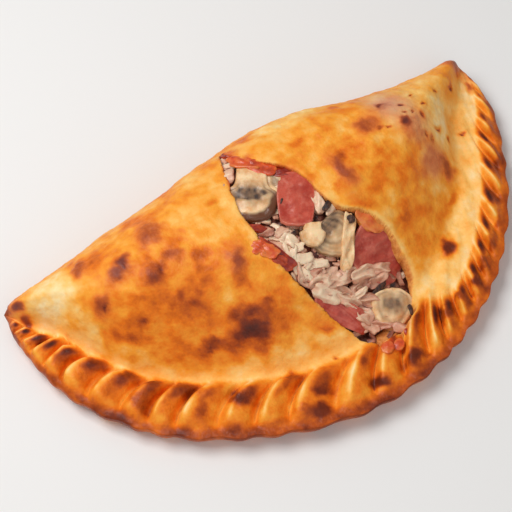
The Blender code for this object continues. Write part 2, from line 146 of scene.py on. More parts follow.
@dataclass(frozen=True)
class HalfMoon:
    """The folded round of dough: its outline, its dome and its twisted edge."""

    half_length: float = 150 * MM
    dome_height: float = 52 * MM
    tip_height: float = 12 * MM
    tip_slope: float = 0.55
    crown: float = 0.38
    shoulder: float = 1.45
    edge_height: float = 13 * MM
    side_bulge: float = 14 * MM
    fold_rounding: float = 35 * MM
    rim_rounding: float = 10 * MM
    foot_rounding: float = 8 * MM
    flange: float = 32 * MM
    tip_start: float = 0.025
    tip_nose: float = 1.4 * MM
    middle: tuple[float, float] = (2.034 * MM, -68.247 * MM)
    rim_at: tuple = (0, 0.05, 0.12, 0.22, 0.36, 0.50, 0.64, 0.76, 0.86, 0.94, 1)
    rim_swell: tuple = (-2.5, -1.0, 2.4, 3.0, 0.2, 2.9, 2.2, 0.5, 0.9, 3.8, 0)
    fold_at: tuple = (0, 0.08, 0.20, 0.34, 0.48, 0.62, 0.76, 0.88, 1)
    fold_bulge: tuple = (0.5, 2.0, 6.0, 9.4, 15.5, 16.6, 7.0, 2.0, 2.0)
    crest_at: tuple = (0.035, 0.055, 0.078, 0.101, 0.127, 0.155, 0.193, 0.235, 0.264, 0.296,
                       0.346, 0.385, 0.423, 0.483, 0.525, 0.565, 0.603, 0.627, 0.656, 0.687,
                       0.720, 0.749, 0.785, 0.831, 0.870, 0.903, 0.935, 0.958)
    crest_height: float = 6 * MM
    crest_slant: float = 0.05
    crest_middle: float = 0.75
    slant_end: float = 1.0
    crest_steep: float = 0.28
    crest_share: float = 0.6
    crest_plump: float = 1.7
    rim_fade: tuple[float, float] = (0.06, 0.38)
    top_fade: tuple[float, float] = (-0.18, 0.17)
    valley_depth: float = 3 * MM
    valley_at: float = 1.12
    valley_reach: float = 0.17
    band_reach: float = 1.25
    pleat_top: float = 0.98
    narrow_at: tuple[float, float] = (0.56, 0.66)
    narrow_top: float = 0.55
    narrow_valley: float = 0.4
    scallop: float = 0.8 * MM
    swellings: tuple = ((-72, -36, 34, 2.5), (78, -34, 30, 2.0), (-16, 8, 16, -2.0),
                        (-39, -88, 9, 1.8), (-86, -29, 9, 1.6), (-102, -10, 8, 1.2),
                        (-77, -42, 8, 1.2), (83, -21, 10, 1.4), (64, -38, 8, 1.2),
                        (89, -35, 8, 1.4), (41, -49, 8, 1.2), (-35, -58, 8, 1.2))

    def rim(self, s: np.ndarray) -> np.ndarray:
        """The twisted outline in plan, s from the left tip to the right tip."""
        radius = self.half_length + MM * smooth_table(s, self.rim_at, self.rim_swell)
        return np.stack([-radius * np.cos(np.pi * s), -radius * np.sin(np.pi * s)], -1)

    def fold(self, s: np.ndarray) -> np.ndarray:
        """The folded edge in plan."""
        along = -self.half_length * (1 - 2 * s)
        return np.stack([along, MM * smooth_table(s, self.fold_at, self.fold_bulge)], -1)

    def span(self, s: np.ndarray) -> tuple[np.ndarray, np.ndarray, np.ndarray]:
        """Fold point, rim point and the distance between them.

        Args:
            s: stations from the left tip, 0, to the right tip, 1.

        Returns:
            The fold points, the rim points and the distances between them.
        """
        fold = self.fold(s)
        rim = self.rim(s)
        return fold, rim, np.linalg.norm(rim - fold, axis=-1)

    def band_width(self, width: np.ndarray) -> np.ndarray:
        """Width of the twisted band, narrower toward the tips."""
        return np.minimum(self.flange, 0.45 * width)

    def lean(self, sigma: np.ndarray, r: np.ndarray) -> np.ndarray:
        """Where a pleat line is along the rim, r band widths in from the rim.

        Args:
            sigma: the pleat lines.
            r: the distances from the rim in band widths.

        Returns:
            The stations that the pleat lines pass there.
        """
        calm = smoothstep(np.minimum(sigma, 1 - sigma), 0.0, 0.10)
        near = np.minimum(r, self.slant_end)
        return sigma + self.crest_slant * (near ** 2 - self.crest_middle ** 2) * calm

    def top(self, sigma: np.ndarray) -> np.ndarray:
        """How far in from the rim the pleats reach, in band widths: less on the right."""
        return self.pleat_top + (self.narrow_top - self.pleat_top) * smoothstep(sigma, *self.narrow_at)

    def phase(self, sigma: np.ndarray) -> np.ndarray:
        """Whole numbers on the crests of the pleats."""
        marks = np.concatenate([[0.0], self.crest_at, [1.0]])
        return np.interp(sigma, marks, np.arange(len(marks)))

    def pleats(self, sigma: np.ndarray, r: np.ndarray, band: np.ndarray) -> np.ndarray:
        """Height that the twisted pleats add: plump crests with sharp creases between.

        Args:
            sigma: the pleat lines.
            r: the distances from the rim in band widths.
            band: the widths of the band.

        Returns:
            Heights in metres.
        """
        part = self.phase(sigma) % 1.0
        off_crest = np.minimum(part / (1 - self.crest_steep), (1 - part) / self.crest_steep)
        wave = self.crest_share - off_crest ** self.crest_plump
        top = self.top(sigma)
        cover = smoothstep(r, *self.rim_fade) * (1 - smoothstep(r - top, *self.top_fade))
        size = self.crest_height * np.clip(band / self.flange, 0.35, 1.0)
        dip = np.exp(-((r - self.valley_at) / self.valley_reach) ** 2) * band / self.flange
        dip = dip * (1 - (1 - self.narrow_valley) * smoothstep(sigma, *self.narrow_at))
        return size * wave * cover - self.valley_depth * dip

    def plain_height(self, s: np.ndarray, d: np.ndarray, width: np.ndarray) -> np.ndarray:
        """Height of the smooth shape at distance d from the fold.

        Args:
            s: the stations.
            d: the distances from the fold.
            width: the distances from fold to rim.

        Returns:
            Heights in metres.
        """
        swell = np.sin(np.pi * s)
        foot = width - self.band_width(width)
        high = self.tip_height + (self.dome_height - self.tip_height) * swell ** self.tip_slope
        crown = self.crown * foot
        fall = np.clip((d - crown) / (foot - crown), 0, 1) ** self.shoulder
        fall = 0.5 + 0.5 * np.cos(np.pi * fall)
        z = np.maximum(self.edge_height + (high - self.edge_height) * fall, self.edge_height)
        back = np.clip(d / np.minimum(self.fold_rounding, 0.4 * width), 0, 1)
        front = np.clip((width - d) / np.minimum(self.rim_rounding, 0.3 * width), 0, 1)
        side = self.side_bulge * (0.5 + 0.5 * swell)
        round_off = np.sqrt(1 - (1 - back) ** 2) * np.sqrt(1 - (1 - front) ** 2)
        return side + (z - side) * round_off

    def swell(self, xy: np.ndarray, d: np.ndarray, width: np.ndarray) -> np.ndarray:
        """The dome's slow swellings and blisters.

        Args:
            xy: the points in plan.
            d: their distances from the fold.
            width: the distances from fold to rim.

        Returns:
            Heights in metres.
        """
        add = np.zeros(xy.shape[:-1])
        for x, y, radius, height in self.swellings:
            gap = ((xy[..., 0] / MM - x) ** 2 + (xy[..., 1] / MM - y) ** 2) / radius ** 2
            add += height * MM * np.exp(-gap)
        inside = smoothstep(width - d, 0.8 * self.flange, 1.3 * self.flange)
        return add * inside * smoothstep(d, 0.0, 0.02)

    def skin(self, sigma: np.ndarray, s: np.ndarray, d: np.ndarray) -> np.ndarray:
        """Points of the outer skin at station s; sigma is the pleat line they lie on.

        Args:
            sigma: the pleat lines.
            s: the stations.
            d: the distances from the fold.

        Returns:
            Rows of x, y, z.
        """
        fold, rim, width = self.span(s)
        band = self.band_width(width)
        r = (width - d) / band
        outward = (rim - fold) / width[..., None]
        ripple = np.cos(2 * np.pi * (self.phase(sigma) - 0.25)) * (1 - smoothstep(r, 0.0, 0.6))
        ripple = self.scallop * ripple * band / self.flange
        xy = fold + outward * (d + ripple)[..., None]
        z = self.plain_height(s, d, width) + self.pleats(sigma, r, band)
        z = z + self.swell(xy, d, width)
        return np.concatenate([xy, z[..., None]], -1)

    def smooth_skin(self, s: float, q: float) -> Vector:
        """One point of the skin without its pleats.

        Args:
            s: the station.
            q: the share of the way from the fold to the rim.

        Returns:
            The point.
        """
        at = np.array([s])
        fold, rim, width = self.span(at)
        xy = (fold + (rim - fold) * q)[0]
        z = self.plain_height(at, q * width, width)[0]
        return Vector((xy[0], xy[1], z))

    def locate(self, points: np.ndarray) -> Place:
        """Station, distance and pleat line of points, from their x and y.

        Args:
            points: rows of x, y and anything, in the half moon's own frame.

        Returns:
            The points' places.
        """
        low = np.full(len(points), 0.001)
        high = np.full(len(points), 0.999)
        for _ in range(36):
            s = 0.5 * (low + high)
            fold, rim, _ = self.span(s)
            way = rim - fold
            off = points[:, :2] - fold
            right = way[:, 0] * off[:, 1] - way[:, 1] * off[:, 0] > 0
            low = np.where(right, s, low)
            high = np.where(right, high, s)
        fold, rim, width = self.span(s)
        d = ((points[:, :2] - fold) * (rim - fold)).sum(axis=1) / width
        band = self.band_width(width)
        r = (width - d) / band
        sigma = s.copy()
        for _ in range(8):
            sigma = s - (self.lean(sigma, r) - sigma)
        return Place(s, d, width, band, sigma)


@dataclass(frozen=True)
class Split:
    """The torn opening across the top: its two lips from the fold to the twisted edge, in mm."""

    y: tuple = (4, -10, -17, -26, -37, -45, -54, -60, -67, -76, -88, -102, -112, -120, -125)
    left: tuple = (-7.5, -12, -14, -17, -18.8, -19, -18.6, -17.8, -16.4, -13.6, -8.8, -2.6, 2.4, 8.2, 14)
    right: tuple = (-4.8, 1, 7.2, 16.5, 21.5, 22, 25, 28.5, 40, 46.5, 49.8, 49, 43.5, 36, 24)
    floor: float = 6 * MM
    top: float = 80 * MM
    tear: float = 0.55
    fray: float = 0.22

    def side(self, y: np.ndarray, table: Sequence[float], seed: float = 0.0) -> np.ndarray:
        """X of one lip at y, torn a little where a seed is given.

        Args:
            y: where along the split.
            table: the lip's own table, in mm.
            seed: another number tears it another way, and 0 leaves it smooth.

        Returns:
            The lip's x.
        """
        x = MM * smooth_table(-np.asarray(y) / MM, [-v for v in self.y], table)
        if seed:
            line = np.stack([np.zeros_like(y), y / MM, np.zeros_like(y)], -1)
            x = x + MM * (self.tear * cloud(line, 9.0, 2, seed) + self.fray * cloud(line, 2.2, 2, seed))
        return x

    def inside(self, x: np.ndarray, y: np.ndarray, margin: float) -> np.ndarray:
        """1 inside the split, 0 outside, with a soft border of the given width.

        Args:
            x: the points' x.
            y: the points' y.
            margin: the width of the border.

        Returns:
            One share a point.
        """
        first, last = self.y[0] * MM, self.y[-1] * MM
        y_in = np.clip(y, last, first)
        left = smoothstep(x - self.side(y_in, self.left), -margin, 0.5 * margin)
        right = smoothstep(self.side(y_in, self.right) - x, -margin, 0.5 * margin)
        ends = smoothstep(first - y, -margin, 0.5 * margin)
        return left * right * ends * smoothstep(y - last, -margin, 0.5 * margin)

    def lip_distance(self, x: np.ndarray, y: np.ndarray) -> tuple[np.ndarray, np.ndarray]:
        """How far points lie outside the split, and how far they are to the right of its middle.

        Args:
            x: the points' x.
            y: the points' y.

        Returns:
            The distance outside, negative inside, and the distance to the right.
        """
        y_in = np.clip(y, self.y[-1] * MM, self.y[0] * MM)
        beyond = np.abs(y - y_in)
        left = self.side(y_in, self.left) - x
        right = x - self.side(y_in, self.right)
        nearest = np.maximum(left, right)
        outside = np.where(beyond > 0, np.hypot(np.maximum(nearest, 0), beyond), nearest)
        return outside, 0.5 * (right - left)

    def slope(self, y: np.ndarray) -> np.ndarray:
        """How far the torn wall under the right lip comes inwards, in metres."""
        depth = -np.asarray(y) / MM
        return MM * (0.6 + 3.6 * smoothstep(depth, 52, 84) * (1 - 0.7 * smoothstep(depth, 112, 124)))

    def cutter(self, shape: HalfMoon, wall: float, rows: int = 170,
               columns: int = 6) -> bpy.types.Object:
        """A prism with the torn outline of the split, narrower under the right lip.

        Args:
            shape: the half moon that it cuts.
            wall: how thick the dough is.
            rows: steps along the split.
            columns: steps across it.

        Returns:
            The cutter.
        """
        y = MM * np.linspace(self.y[0], self.y[-1], rows + 1)
        left = self.side(y, self.left, 3.0)
        right = np.maximum(self.side(y, self.right, 7.0), left + 0.5 * MM)
        foot = np.maximum(right - self.slope(y), left + 0.4 * MM)
        place = shape.locate(np.stack([right, y], -1))
        lip = shape.plain_height(place.s, place.d, place.width)
        levels = ((foot, np.full(rows + 1, self.floor)), (foot, np.maximum(lip - wall, 8 * MM)),
                  (right, lip + 1 * MM), (right, np.full(rows + 1, self.top)))
        bm = bmesh.new()
        along = bm.verts.layers.int.new("along")
        across = bm.verts.layers.float.new("across")
        bmesh.ops.create_grid(bm, x_segments=columns, y_segments=rows, size=1.0)
        for vert in bm.verts:
            vert[along] = round(0.5 * (1 - vert.co.y) * rows)
            vert[across] = 0.5 * (1 + vert.co.x)
        rising = list(bm.verts)
        faces = list(bm.faces)
        for number, (far, height) in enumerate(levels):
            if number:
                below = faces
                made = bmesh.ops.extrude_face_region(bm, geom=below)["geom"]
                rising = [item for item in made if isinstance(item, bmesh.types.BMVert)]
                faces = [item for item in made if isinstance(item, bmesh.types.BMFace)]
                if number > 1:
                    bmesh.ops.delete(bm, geom=below, context="FACES")
            for vert in rising:
                i = vert[along]
                vert.co = (left[i] + (far[i] - left[i]) * vert[across], y[i], height[i])
        bmesh.ops.recalc_face_normals(bm, faces=bm.faces)
        return as_object("split_cutter", bm)


@dataclass(frozen=True)
class Spot:
    """A place in the split: s and q on the dome, depth under it in mm, and its turns in degrees."""

    s: float
    q: float
    depth: float
    turn: float
    lean: float = 0.0
    roll: float = 0.0

    def matrix(self, shape: HalfMoon) -> Matrix:
        """Frame with Z along the dome's normal and X turned in plan.

        Args:
            shape: the half moon that the spot lies on.

        Returns:
            The frame.
        """
        here = shape.smooth_skin(self.s, self.q)
        along = shape.smooth_skin(self.s + 0.01, self.q) - shape.smooth_skin(self.s - 0.01, self.q)
        across = shape.smooth_skin(self.s, self.q + 0.02) - shape.smooth_skin(self.s, self.q - 0.02)
        normal = across.cross(along).normalized()
        if normal.z < 0:
            normal.negate()
        ahead = Vector((math.cos(math.radians(self.turn)), math.sin(math.radians(self.turn)), 0))
        side = normal.cross(ahead).normalized()
        ahead = side.cross(normal)
        frame_at = Matrix((ahead, side, normal)).transposed().to_4x4()
        tip = (Matrix.Rotation(math.radians(self.lean), 4, "X")
               @ Matrix.Rotation(math.radians(self.roll), 4, "Y"))
        return Matrix.Translation(here - normal * self.depth * MM) @ frame_at @ tip


# Meshes and pieces: helpers for building and dressing.


def as_object(name: str, bm: bmesh.types.BMesh) -> bpy.types.Object:
    """Turn a bmesh into a linked object with smooth faces.

    Args:
        name: the object's name.
        bm: the bmesh, which is freed.

    Returns:
        The object.
    """
    mesh = bpy.data.meshes.new(name)
    bm.to_mesh(mesh)
    bm.free()
    mesh.shade_smooth()
    obj = bpy.data.objects.new(name, mesh)
    bpy.context.scene.collection.objects.link(obj)
    return obj


def corners(obj: bpy.types.Object) -> np.ndarray:
    """An object's vertices as rows of x, y, z.

    Args:
        obj: the object to read.

    Returns:
        Its vertices' places.
    """
    flat = np.zeros(len(obj.data.vertices) * 3)
    obj.data.vertices.foreach_get("co", flat)
    return flat.reshape(-1, 3)


def normals(obj: bpy.types.Object) -> np.ndarray:
    """An object's vertex normals as rows of x, y, z.

    Args:
        obj: the object to read.

    Returns:
        Its vertices' normals.
    """
    flat = np.zeros(len(obj.data.vertices) * 3)
    obj.data.vertex_normals.foreach_get("vector", flat)
    return flat.reshape(-1, 3)


def move_corners(obj: bpy.types.Object, points: np.ndarray) -> None:
    """Put an object's vertices at new places."""
    obj.data.vertices.foreach_set("co", np.ascontiguousarray(points, np.float32).ravel())
    obj.data.update()


def paint(obj: bpy.types.Object, name: str, values: np.ndarray) -> None:
    """Store one value a vertex for a material to read."""
    layer = obj.data.attributes.get(name) or obj.data.attributes.new(name, "FLOAT", "POINT")
    layer.data.foreach_set("value", np.ascontiguousarray(values, np.float32))


def bake(obj: bpy.types.Object) -> bpy.types.Object:
    """Apply an object's modifiers.

    Args:
        obj: the object whose modifiers are applied.

    Returns:
        The same object.
    """
    depsgraph = bpy.context.evaluated_depsgraph_get()
    mesh = bpy.data.meshes.new_from_object(obj.evaluated_get(depsgraph))
    obj.modifiers.clear()
    obj.data = mesh
    return obj


def cut_away(obj: bpy.types.Object, cutter: bpy.types.Object) -> None:
    """Take one closed shape out of another, and drop the cutter.

    Args:
        obj: the shape that is cut.
        cutter: the closed shape that is taken out of it.
    """
    cut = obj.modifiers.new("cut", "BOOLEAN")
    cut.operation = "DIFFERENCE"
    cut.solver = "MANIFOLD"
    cut.object = cutter
    bake(obj)
    bpy.data.objects.remove(cutter)


def keep_largest(bm: bmesh.types.BMesh) -> None:
    """Drop the loose scraps that a cut leaves.

    Args:
        bm: the bmesh to clean.
    """
    left = set(bm.verts)
    groups = []
    while left:
        stack = [left.pop()]
        group = set(stack)
        while stack:
            for edge in stack.pop().link_edges:
                for vert in edge.verts:
                    if vert in left:
                        left.remove(vert)
                        group.add(vert)
                        stack.append(vert)
        groups.append(group)
    groups.sort(key=len, reverse=True)
    for group in groups[1:]:
        bmesh.ops.delete(bm, geom=list(group), context="VERTS")


def wrap(name: str, rings: np.ndarray) -> bpy.types.Object:
    """Bend a grid into a closed skin through rings of points.

    Args:
        name: the object's name.
        rings: rows of points; a row's last point is its first again, and the two end rows
            may be a single point each.

    Returns:
        The object, closed and facing outwards.
    """
    rows, columns = rings.shape[:2]
    bm = bmesh.new()
    bmesh.ops.create_grid(bm, x_segments=rows - 1, y_segments=columns - 1, size=1.0)
    for vert in bm.verts:
        i = round((vert.co.x + 1) * 0.5 * (rows - 1))
        j = round((vert.co.y + 1) * 0.5 * (columns - 1))
        vert.co = rings[i, j]
    bmesh.ops.remove_doubles(bm, verts=bm.verts, dist=1e-7)
    open_edges = [edge for edge in bm.edges if edge.is_boundary]
    if open_edges:
        bmesh.ops.holes_fill(bm, edges=open_edges, sides=0)
    bmesh.ops.recalc_face_normals(bm, faces=bm.faces)
    return as_object(name, bm)


def slab(bm: bmesh.types.BMesh, fineness: int, round_share: float = 0.22,
         squareness: float = 2.0, side: float = 0.12) -> list[bmesh.types.BMVert]:
    """Add a flat round lozenge, one unit in radius and one unit thick, to a bmesh.

    Args:
        bm: the bmesh that takes it.
        fineness: subdivisions of the sphere that it starts from.
        round_share: the share of the sphere that becomes the rounded side.
        squareness: 2 for a round outline, more for a squarer one.
        side: how far the side's roundness reaches in.

    Returns:
        Its vertices.
    """
    made = bmesh.ops.create_icosphere(bm, subdivisions=fineness, radius=1.0)["verts"]
    for vert in made:
        x, y, z = vert.co
        tilt = math.asin(max(-1.0, min(1.0, z))) / (0.5 * math.pi)
        flat = math.hypot(x, y)
        x, y = (x / flat, y / flat) if flat > 1e-6 else (1.0, 0.0)
        if abs(tilt) < round_share:
            swing = 0.5 * math.pi * tilt / round_share
            reach = 1.0 - side * (1 - math.cos(swing))
            height = 0.5 * math.sin(swing)
        else:
            reach = (1.0 - side) * (1 - abs(tilt)) / (1 - round_share)
            height = math.copysign(0.5, tilt)
        square = (abs(x) ** squareness + abs(y) ** squareness) ** (-1.0 / squareness)
        vert.co = (x * square * reach, y * square * reach, height)
    return made


def finish_piece(obj: bpy.types.Object, material: bpy.types.Material,
                 nodes: Sequence[str] = (), shape: Optional[HalfMoon] = None) -> bpy.types.Object:
    """Put a piece in the part's frame, dress it and hide the solids that it stands for.

    Args:
        obj: the piece, its place in its mesh.
        material: its finish.
        nodes: the solids that it stands for.
        shape: given where the piece is still in the half moon's own frame.

    Returns:
        The piece.
    """
    if shape is not None:
        obj.data.transform(Matrix.Translation((-shape.middle[0], -shape.middle[1], 0)))
    obj.data.materials.clear()
    obj.data.materials.append(material)
    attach(obj, "root")
    if nodes:
        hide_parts(*nodes)
    LOG.info("%s: %d faces", obj.name, len(obj.data.polygons))
    return obj


# Finishes: one class for each material.


class Shading:
    """Adds the nodes of one material."""

    def __init__(self, name: str, roughness: float, specular: float = 0.5, soft: float = 0.0,
                 soft_mm: float = 3.0) -> None:
        """Start a material with a Principled shader.

        Args:
            name: the material's name.
            roughness: its roughness where nothing changes it.
            specular: its specular level.
            soft: the share of light that it scatters under its surface.
            soft_mm: how far under.
        """
        self.material = bpy.data.materials.new(name)
        self.material.use_nodes = True
        self.tree = self.material.node_tree
        self.shader = self.tree.nodes["Principled BSDF"]
        self.shader.inputs["Roughness"].default_value = roughness
        self.shader.inputs["Specular IOR Level"].default_value = specular
        if soft:
            self.shader.inputs["Subsurface Weight"].default_value = soft
            self.shader.inputs["Subsurface Scale"].default_value = soft_mm * MM
        self.place = self.tree.nodes.new("ShaderNodeTexCoord").outputs["Object"]

    def put(self, socket: Socket, value: object) -> None:
        """Link a socket, or set its value.

        Args:
            socket: the input socket.
            value: another socket, a colour, a vector or a number.
        """
        if isinstance(value, bpy.types.NodeSocket):
            self.tree.links.new(value, socket)
        elif isinstance(value, tuple):
            socket.default_value = (*value, 1.0) if len(value) == 3 else value
        else:
            socket.default_value = value

    def attribute(self, name: str) -> Socket:
        """One of the piece's painted values.

        Args:
            name: the attribute's name.

        Returns:
            Its value as a socket.
        """
        node = self.tree.nodes.new("ShaderNodeAttribute")
        node.attribute_name = name
        return node.outputs["Fac"]

    def speckle(self, size_mm: float, detail: float = 3.0, rough: float = 0.55,
                stretch: Optional[tuple] = None) -> Socket:
        """Cloudy values about 0.5, with clouds of the given size.

        Args:
            size_mm: the size of the clouds.
            detail: how many finer layers are added.
            rough: how strong the finer layers are.
            stretch: a scale for each axis, if the clouds are drawn out.

        Returns:
            The resulting socket.
        """
        node = self.tree.nodes.new("ShaderNodeTexNoise")
        node.inputs["Scale"].default_value = 1.0 / (size_mm * MM)
        node.inputs["Detail"].default_value = detail
        node.inputs["Roughness"].default_value = rough
        place = self.place
        if stretch:
            mapping = self.tree.nodes.new("ShaderNodeMapping")
            mapping.inputs["Scale"].default_value = stretch
            self.put(mapping.inputs["Vector"], place)
            place = mapping.outputs["Vector"]
        self.put(node.inputs["Vector"], place)
        return node.outputs["Fac"]

    def maths(self, operation: str, first: object, second: object = 0.0,
              third: Optional[object] = None, clamp: bool = False) -> Socket:
        """One sum, product or other step of arithmetic.

        Args:
            operation: the step's name.
            first: its first value or socket.
            second: its second.
            third: its third, if it has one.
            clamp: whether the result is held between 0 and 1.

        Returns:
            The resulting socket.
        """
        node = self.tree.nodes.new("ShaderNodeMath")
        node.operation = operation
        node.use_clamp = clamp
        for socket, value in zip(node.inputs, (first, second, third)):
            if value is not None:
                self.put(socket, value)
        return node.outputs[0]

    def ranged(self, value: Socket, low: float, high: float, to_low: float = 0.0,
               to_high: float = 1.0) -> Socket:
        """A value carried from one range to another, and held in it.

        Args:
            value: the value.
            low: the start of its range.
            high: the end of its range.
            to_low: what the start becomes.
            to_high: what the end becomes.

        Returns:
            The resulting socket.
        """
        node = self.tree.nodes.new("ShaderNodeMapRange")
        for socket, number in zip(node.inputs, (value, low, high, to_low, to_high)):
            self.put(socket, number)
        return node.outputs[0]

    def ramp(self, value: Socket, stops: Sequence[tuple[float, Colour]]) -> Socket:
        """A colour looked up along a row of stops.

        Args:
            value: where to look, 0 to 1.
            stops: places and colours.

        Returns:
            The resulting socket.
        """
        node = self.tree.nodes.new("ShaderNodeValToRGB")
        elements = node.color_ramp.elements
        while len(elements) < len(stops):
            elements.new(0.5)
        for element, (at, colour) in zip(elements, stops):
            element.position = at
            element.color = (*colour, 1.0)
        self.put(node.inputs["Fac"], value)
        return node.outputs["Color"]

    def blend(self, share: object, first: object, second: object) -> Socket:
        """A mix of two colours.

        Args:
            share: the share of the second colour.
            first: the first colour.
            second: the second colour.

        Returns:
            The resulting socket.
        """
        node = self.tree.nodes.new("ShaderNodeMix")
        node.data_type = "RGBA"
        self.put(node.inputs["Factor"], share)
        self.put(node.inputs[6], first)
        self.put(node.inputs[7], second)
        return node.outputs[2]

    def bump(self, height: Socket, depth_mm: float, before: Optional[Socket] = None) -> Socket:
        """Fine relief from a height value.

        Args:
            height: the relief, 0 to 1.
            depth_mm: its depth.
            before: coarser relief that it is laid over.

        Returns:
            The resulting socket.
        """
        node = self.tree.nodes.new("ShaderNodeBump")
        node.inputs["Distance"].default_value = depth_mm * MM
        self.put(node.inputs["Height"], height)
        if before is not None:
            self.put(node.inputs["Normal"], before)
        return node.outputs["Normal"]

    def done(self, colour: object, normal: Optional[Socket] = None,
             roughness: Optional[Socket] = None) -> bpy.types.Material:
        """Join colour, relief and roughness to the shader.

        Args:
            colour: the base colour.
            normal: the relief.
            roughness: the roughness.

        Returns:
            The finished material.
        """
        self.put(self.shader.inputs["Base Color"], colour)
        if normal is not None:
            self.put(self.shader.inputs["Normal"], normal)
        if roughness is not None:
            self.put(self.shader.inputs["Roughness"], roughness)
        return self.material


@dataclass(frozen=True)
class DoughFinish:
    """Baked dough from pale cream to char, with sauce stains and a torn edge."""

    stops: tuple = ((0.00, srgb(255, 226, 168)), (0.18, srgb(255, 198, 108)),
                    (0.36, srgb(250, 162, 50)), (0.52, srgb(234, 120, 22)),
                    (0.66, srgb(186, 82, 18)), (0.80, srgb(126, 48, 18)),
                    (1.00, srgb(70, 28, 20)))
    dusk: Colour = srgb(118, 68, 66)
    haze: Colour = srgb(214, 150, 130)
    stain: Colour = srgb(214, 74, 26)
    crumb: Colour = srgb(232, 156, 84)
    crumb_shade: Colour = srgb(204, 116, 52)
    coarse_share: float = 0.26
    fine_share: float = 0.12
    dusk_share: float = 0.75

    def make(self) -> bpy.types.Material:
        """Build the material's nodes.

        Returns:
            The material.
        """
        shade = Shading("baked_dough", roughness=0.5, specular=0.22, soft=0.05, soft_mm=4.0)
        coarse = shade.maths("SUBTRACT", shade.speckle(6.5, 4.0, 0.55), 0.5)
        fine = shade.maths("SUBTRACT", shade.speckle(1.8, 3.0, 0.55), 0.5)
        # The painted tone holds the baking and also painted shade and highlights.
        tone = shade.maths("MULTIPLY_ADD", coarse, self.coarse_share, shade.attribute("tone"))
        tone = shade.maths("MULTIPLY_ADD", fine, self.fine_share, tone)
        colour = shade.ramp(tone, self.stops)
        veil = shade.blend(shade.ranged(tone, 0.38, 0.62), self.haze, self.dusk)
        dusky = shade.maths("MULTIPLY", shade.attribute("dusk"), self.dusk_share)
        colour = shade.blend(dusky, colour, veil)
        torn = shade.ramp(shade.speckle(2.2, 3.0), ((0.36, self.crumb_shade), (0.64, self.crumb)))
        colour = shade.blend(shade.attribute("crumb"), colour, torn)
        colour = shade.blend(shade.attribute("stain"), colour, self.stain)
        normal = shade.bump(shade.speckle(1.0, 3.0, 0.55), 0.14)
        normal = shade.bump(shade.speckle(4.2, 3.0, 0.55), 0.7, normal)
        rough = shade.ranged(tone, 0.2, 0.8, 0.55, 0.38)
        return shade.done(colour, normal, rough)


@dataclass(frozen=True)
class MushroomFinish:
    """Cooked sliced mushroom: cream flesh, grey round the gills, and a brown skin."""

    flesh: Colour = srgb(252, 216, 168)
    warm: Colour = srgb(228, 170, 112)
    grey: Colour = srgb(156, 124, 92)
    gill: Colour = srgb(142, 110, 84)
    deep: Colour = srgb(66, 50, 44)
    skin: Colour = srgb(104, 58, 32)

    def make(self) -> bpy.types.Material:
        """Build the material's nodes.

        Returns:
            The material.
        """
        shade = Shading("cooked_mushroom", roughness=0.34, soft=0.1)
        patch = shade.ranged(shade.speckle(5.0, 3.0), 0.38, 0.66)
        colour = shade.blend(patch, self.flesh, self.warm)
        colour = shade.blend(shade.attribute("grey"), colour, self.grey)
        warp = shade.maths("MULTIPLY_ADD", shade.speckle(3.0, 2.0), 4.0, shade.attribute("fan"))
        lines = shade.maths("MULTIPLY", shade.ranged(shade.maths("SINE", warp), -0.9, 0.9), 0.6)
        lines = shade.maths("MULTIPLY_ADD", shade.ranged(shade.speckle(2.6, 3.0), 0.4, 0.6), 0.5, lines,
                            clamp=True)
        colour = shade.blend(shade.attribute("gill"), colour, shade.blend(lines, self.deep, self.gill))
        colour = shade.blend(shade.attribute("skin"), colour, self.skin)
        normal = shade.bump(shade.speckle(1.4, 3.0), 0.2)
        return shade.done(colour, normal)


@dataclass(frozen=True)
class HamFinish:
    """Cooked ham: wet salmon-red meat, paler along its folds as a painted highlight."""

    meat: Colour = srgb(202, 86, 66)
    deep: Colour = srgb(172, 54, 38)
    streak_and_highlight: Colour = srgb(228, 142, 116)

    def make(self) -> bpy.types.Material:
        """Build the material's nodes.

        Returns:
            The material.
        """
        shade = Shading("cooked_ham", roughness=0.3, soft=0.08)
        grain = shade.ranged(shade.speckle(6.0, 3.0, 0.5), 0.36, 0.64)
        colour = shade.blend(grain, self.meat, self.deep)
        soft = shade.maths("MULTIPLY", shade.ranged(shade.speckle(3.4, 3.0), 0.5, 0.75), 0.35)
        colour = shade.blend(soft, colour, self.streak_and_highlight)
        # Painted highlight: the folds are made paler; the rim is paler too.
        colour = shade.blend(shade.attribute("edge"), colour, self.streak_and_highlight)
        normal = shade.bump(shade.speckle(1.6, 3.0), 0.16)
        normal = shade.bump(shade.speckle(5.0, 2.0, 0.5, (1.0, 2.2, 1.0)), 0.5, normal)
        return shade.done(colour, normal)


@dataclass(frozen=True)
class TomatoFinish:
    """Baked tomato and its sauce: orange to deep red, wet."""

    stops: tuple = ((0.10, srgb(232, 140, 66)), (0.50, srgb(218, 84, 36)), (0.90, srgb(136, 34, 22)))

    def make(self) -> bpy.types.Material:
        """Build the material's nodes.

        Returns:
            The material.
        """
        shade = Shading("baked_tomato", roughness=0.3, soft=0.08)
        patch = shade.maths("SUBTRACT", shade.speckle(4.0, 3.0), 0.5)
        # The stored shade is each bit's own colour with painted highlights and shade in it.
        colour = shade.ramp(shade.maths("MULTIPLY_ADD", patch, 0.9, shade.attribute("shade")), self.stops)
        normal = shade.bump(shade.speckle(1.8, 3.0), 0.2)
        return shade.done(colour, normal)


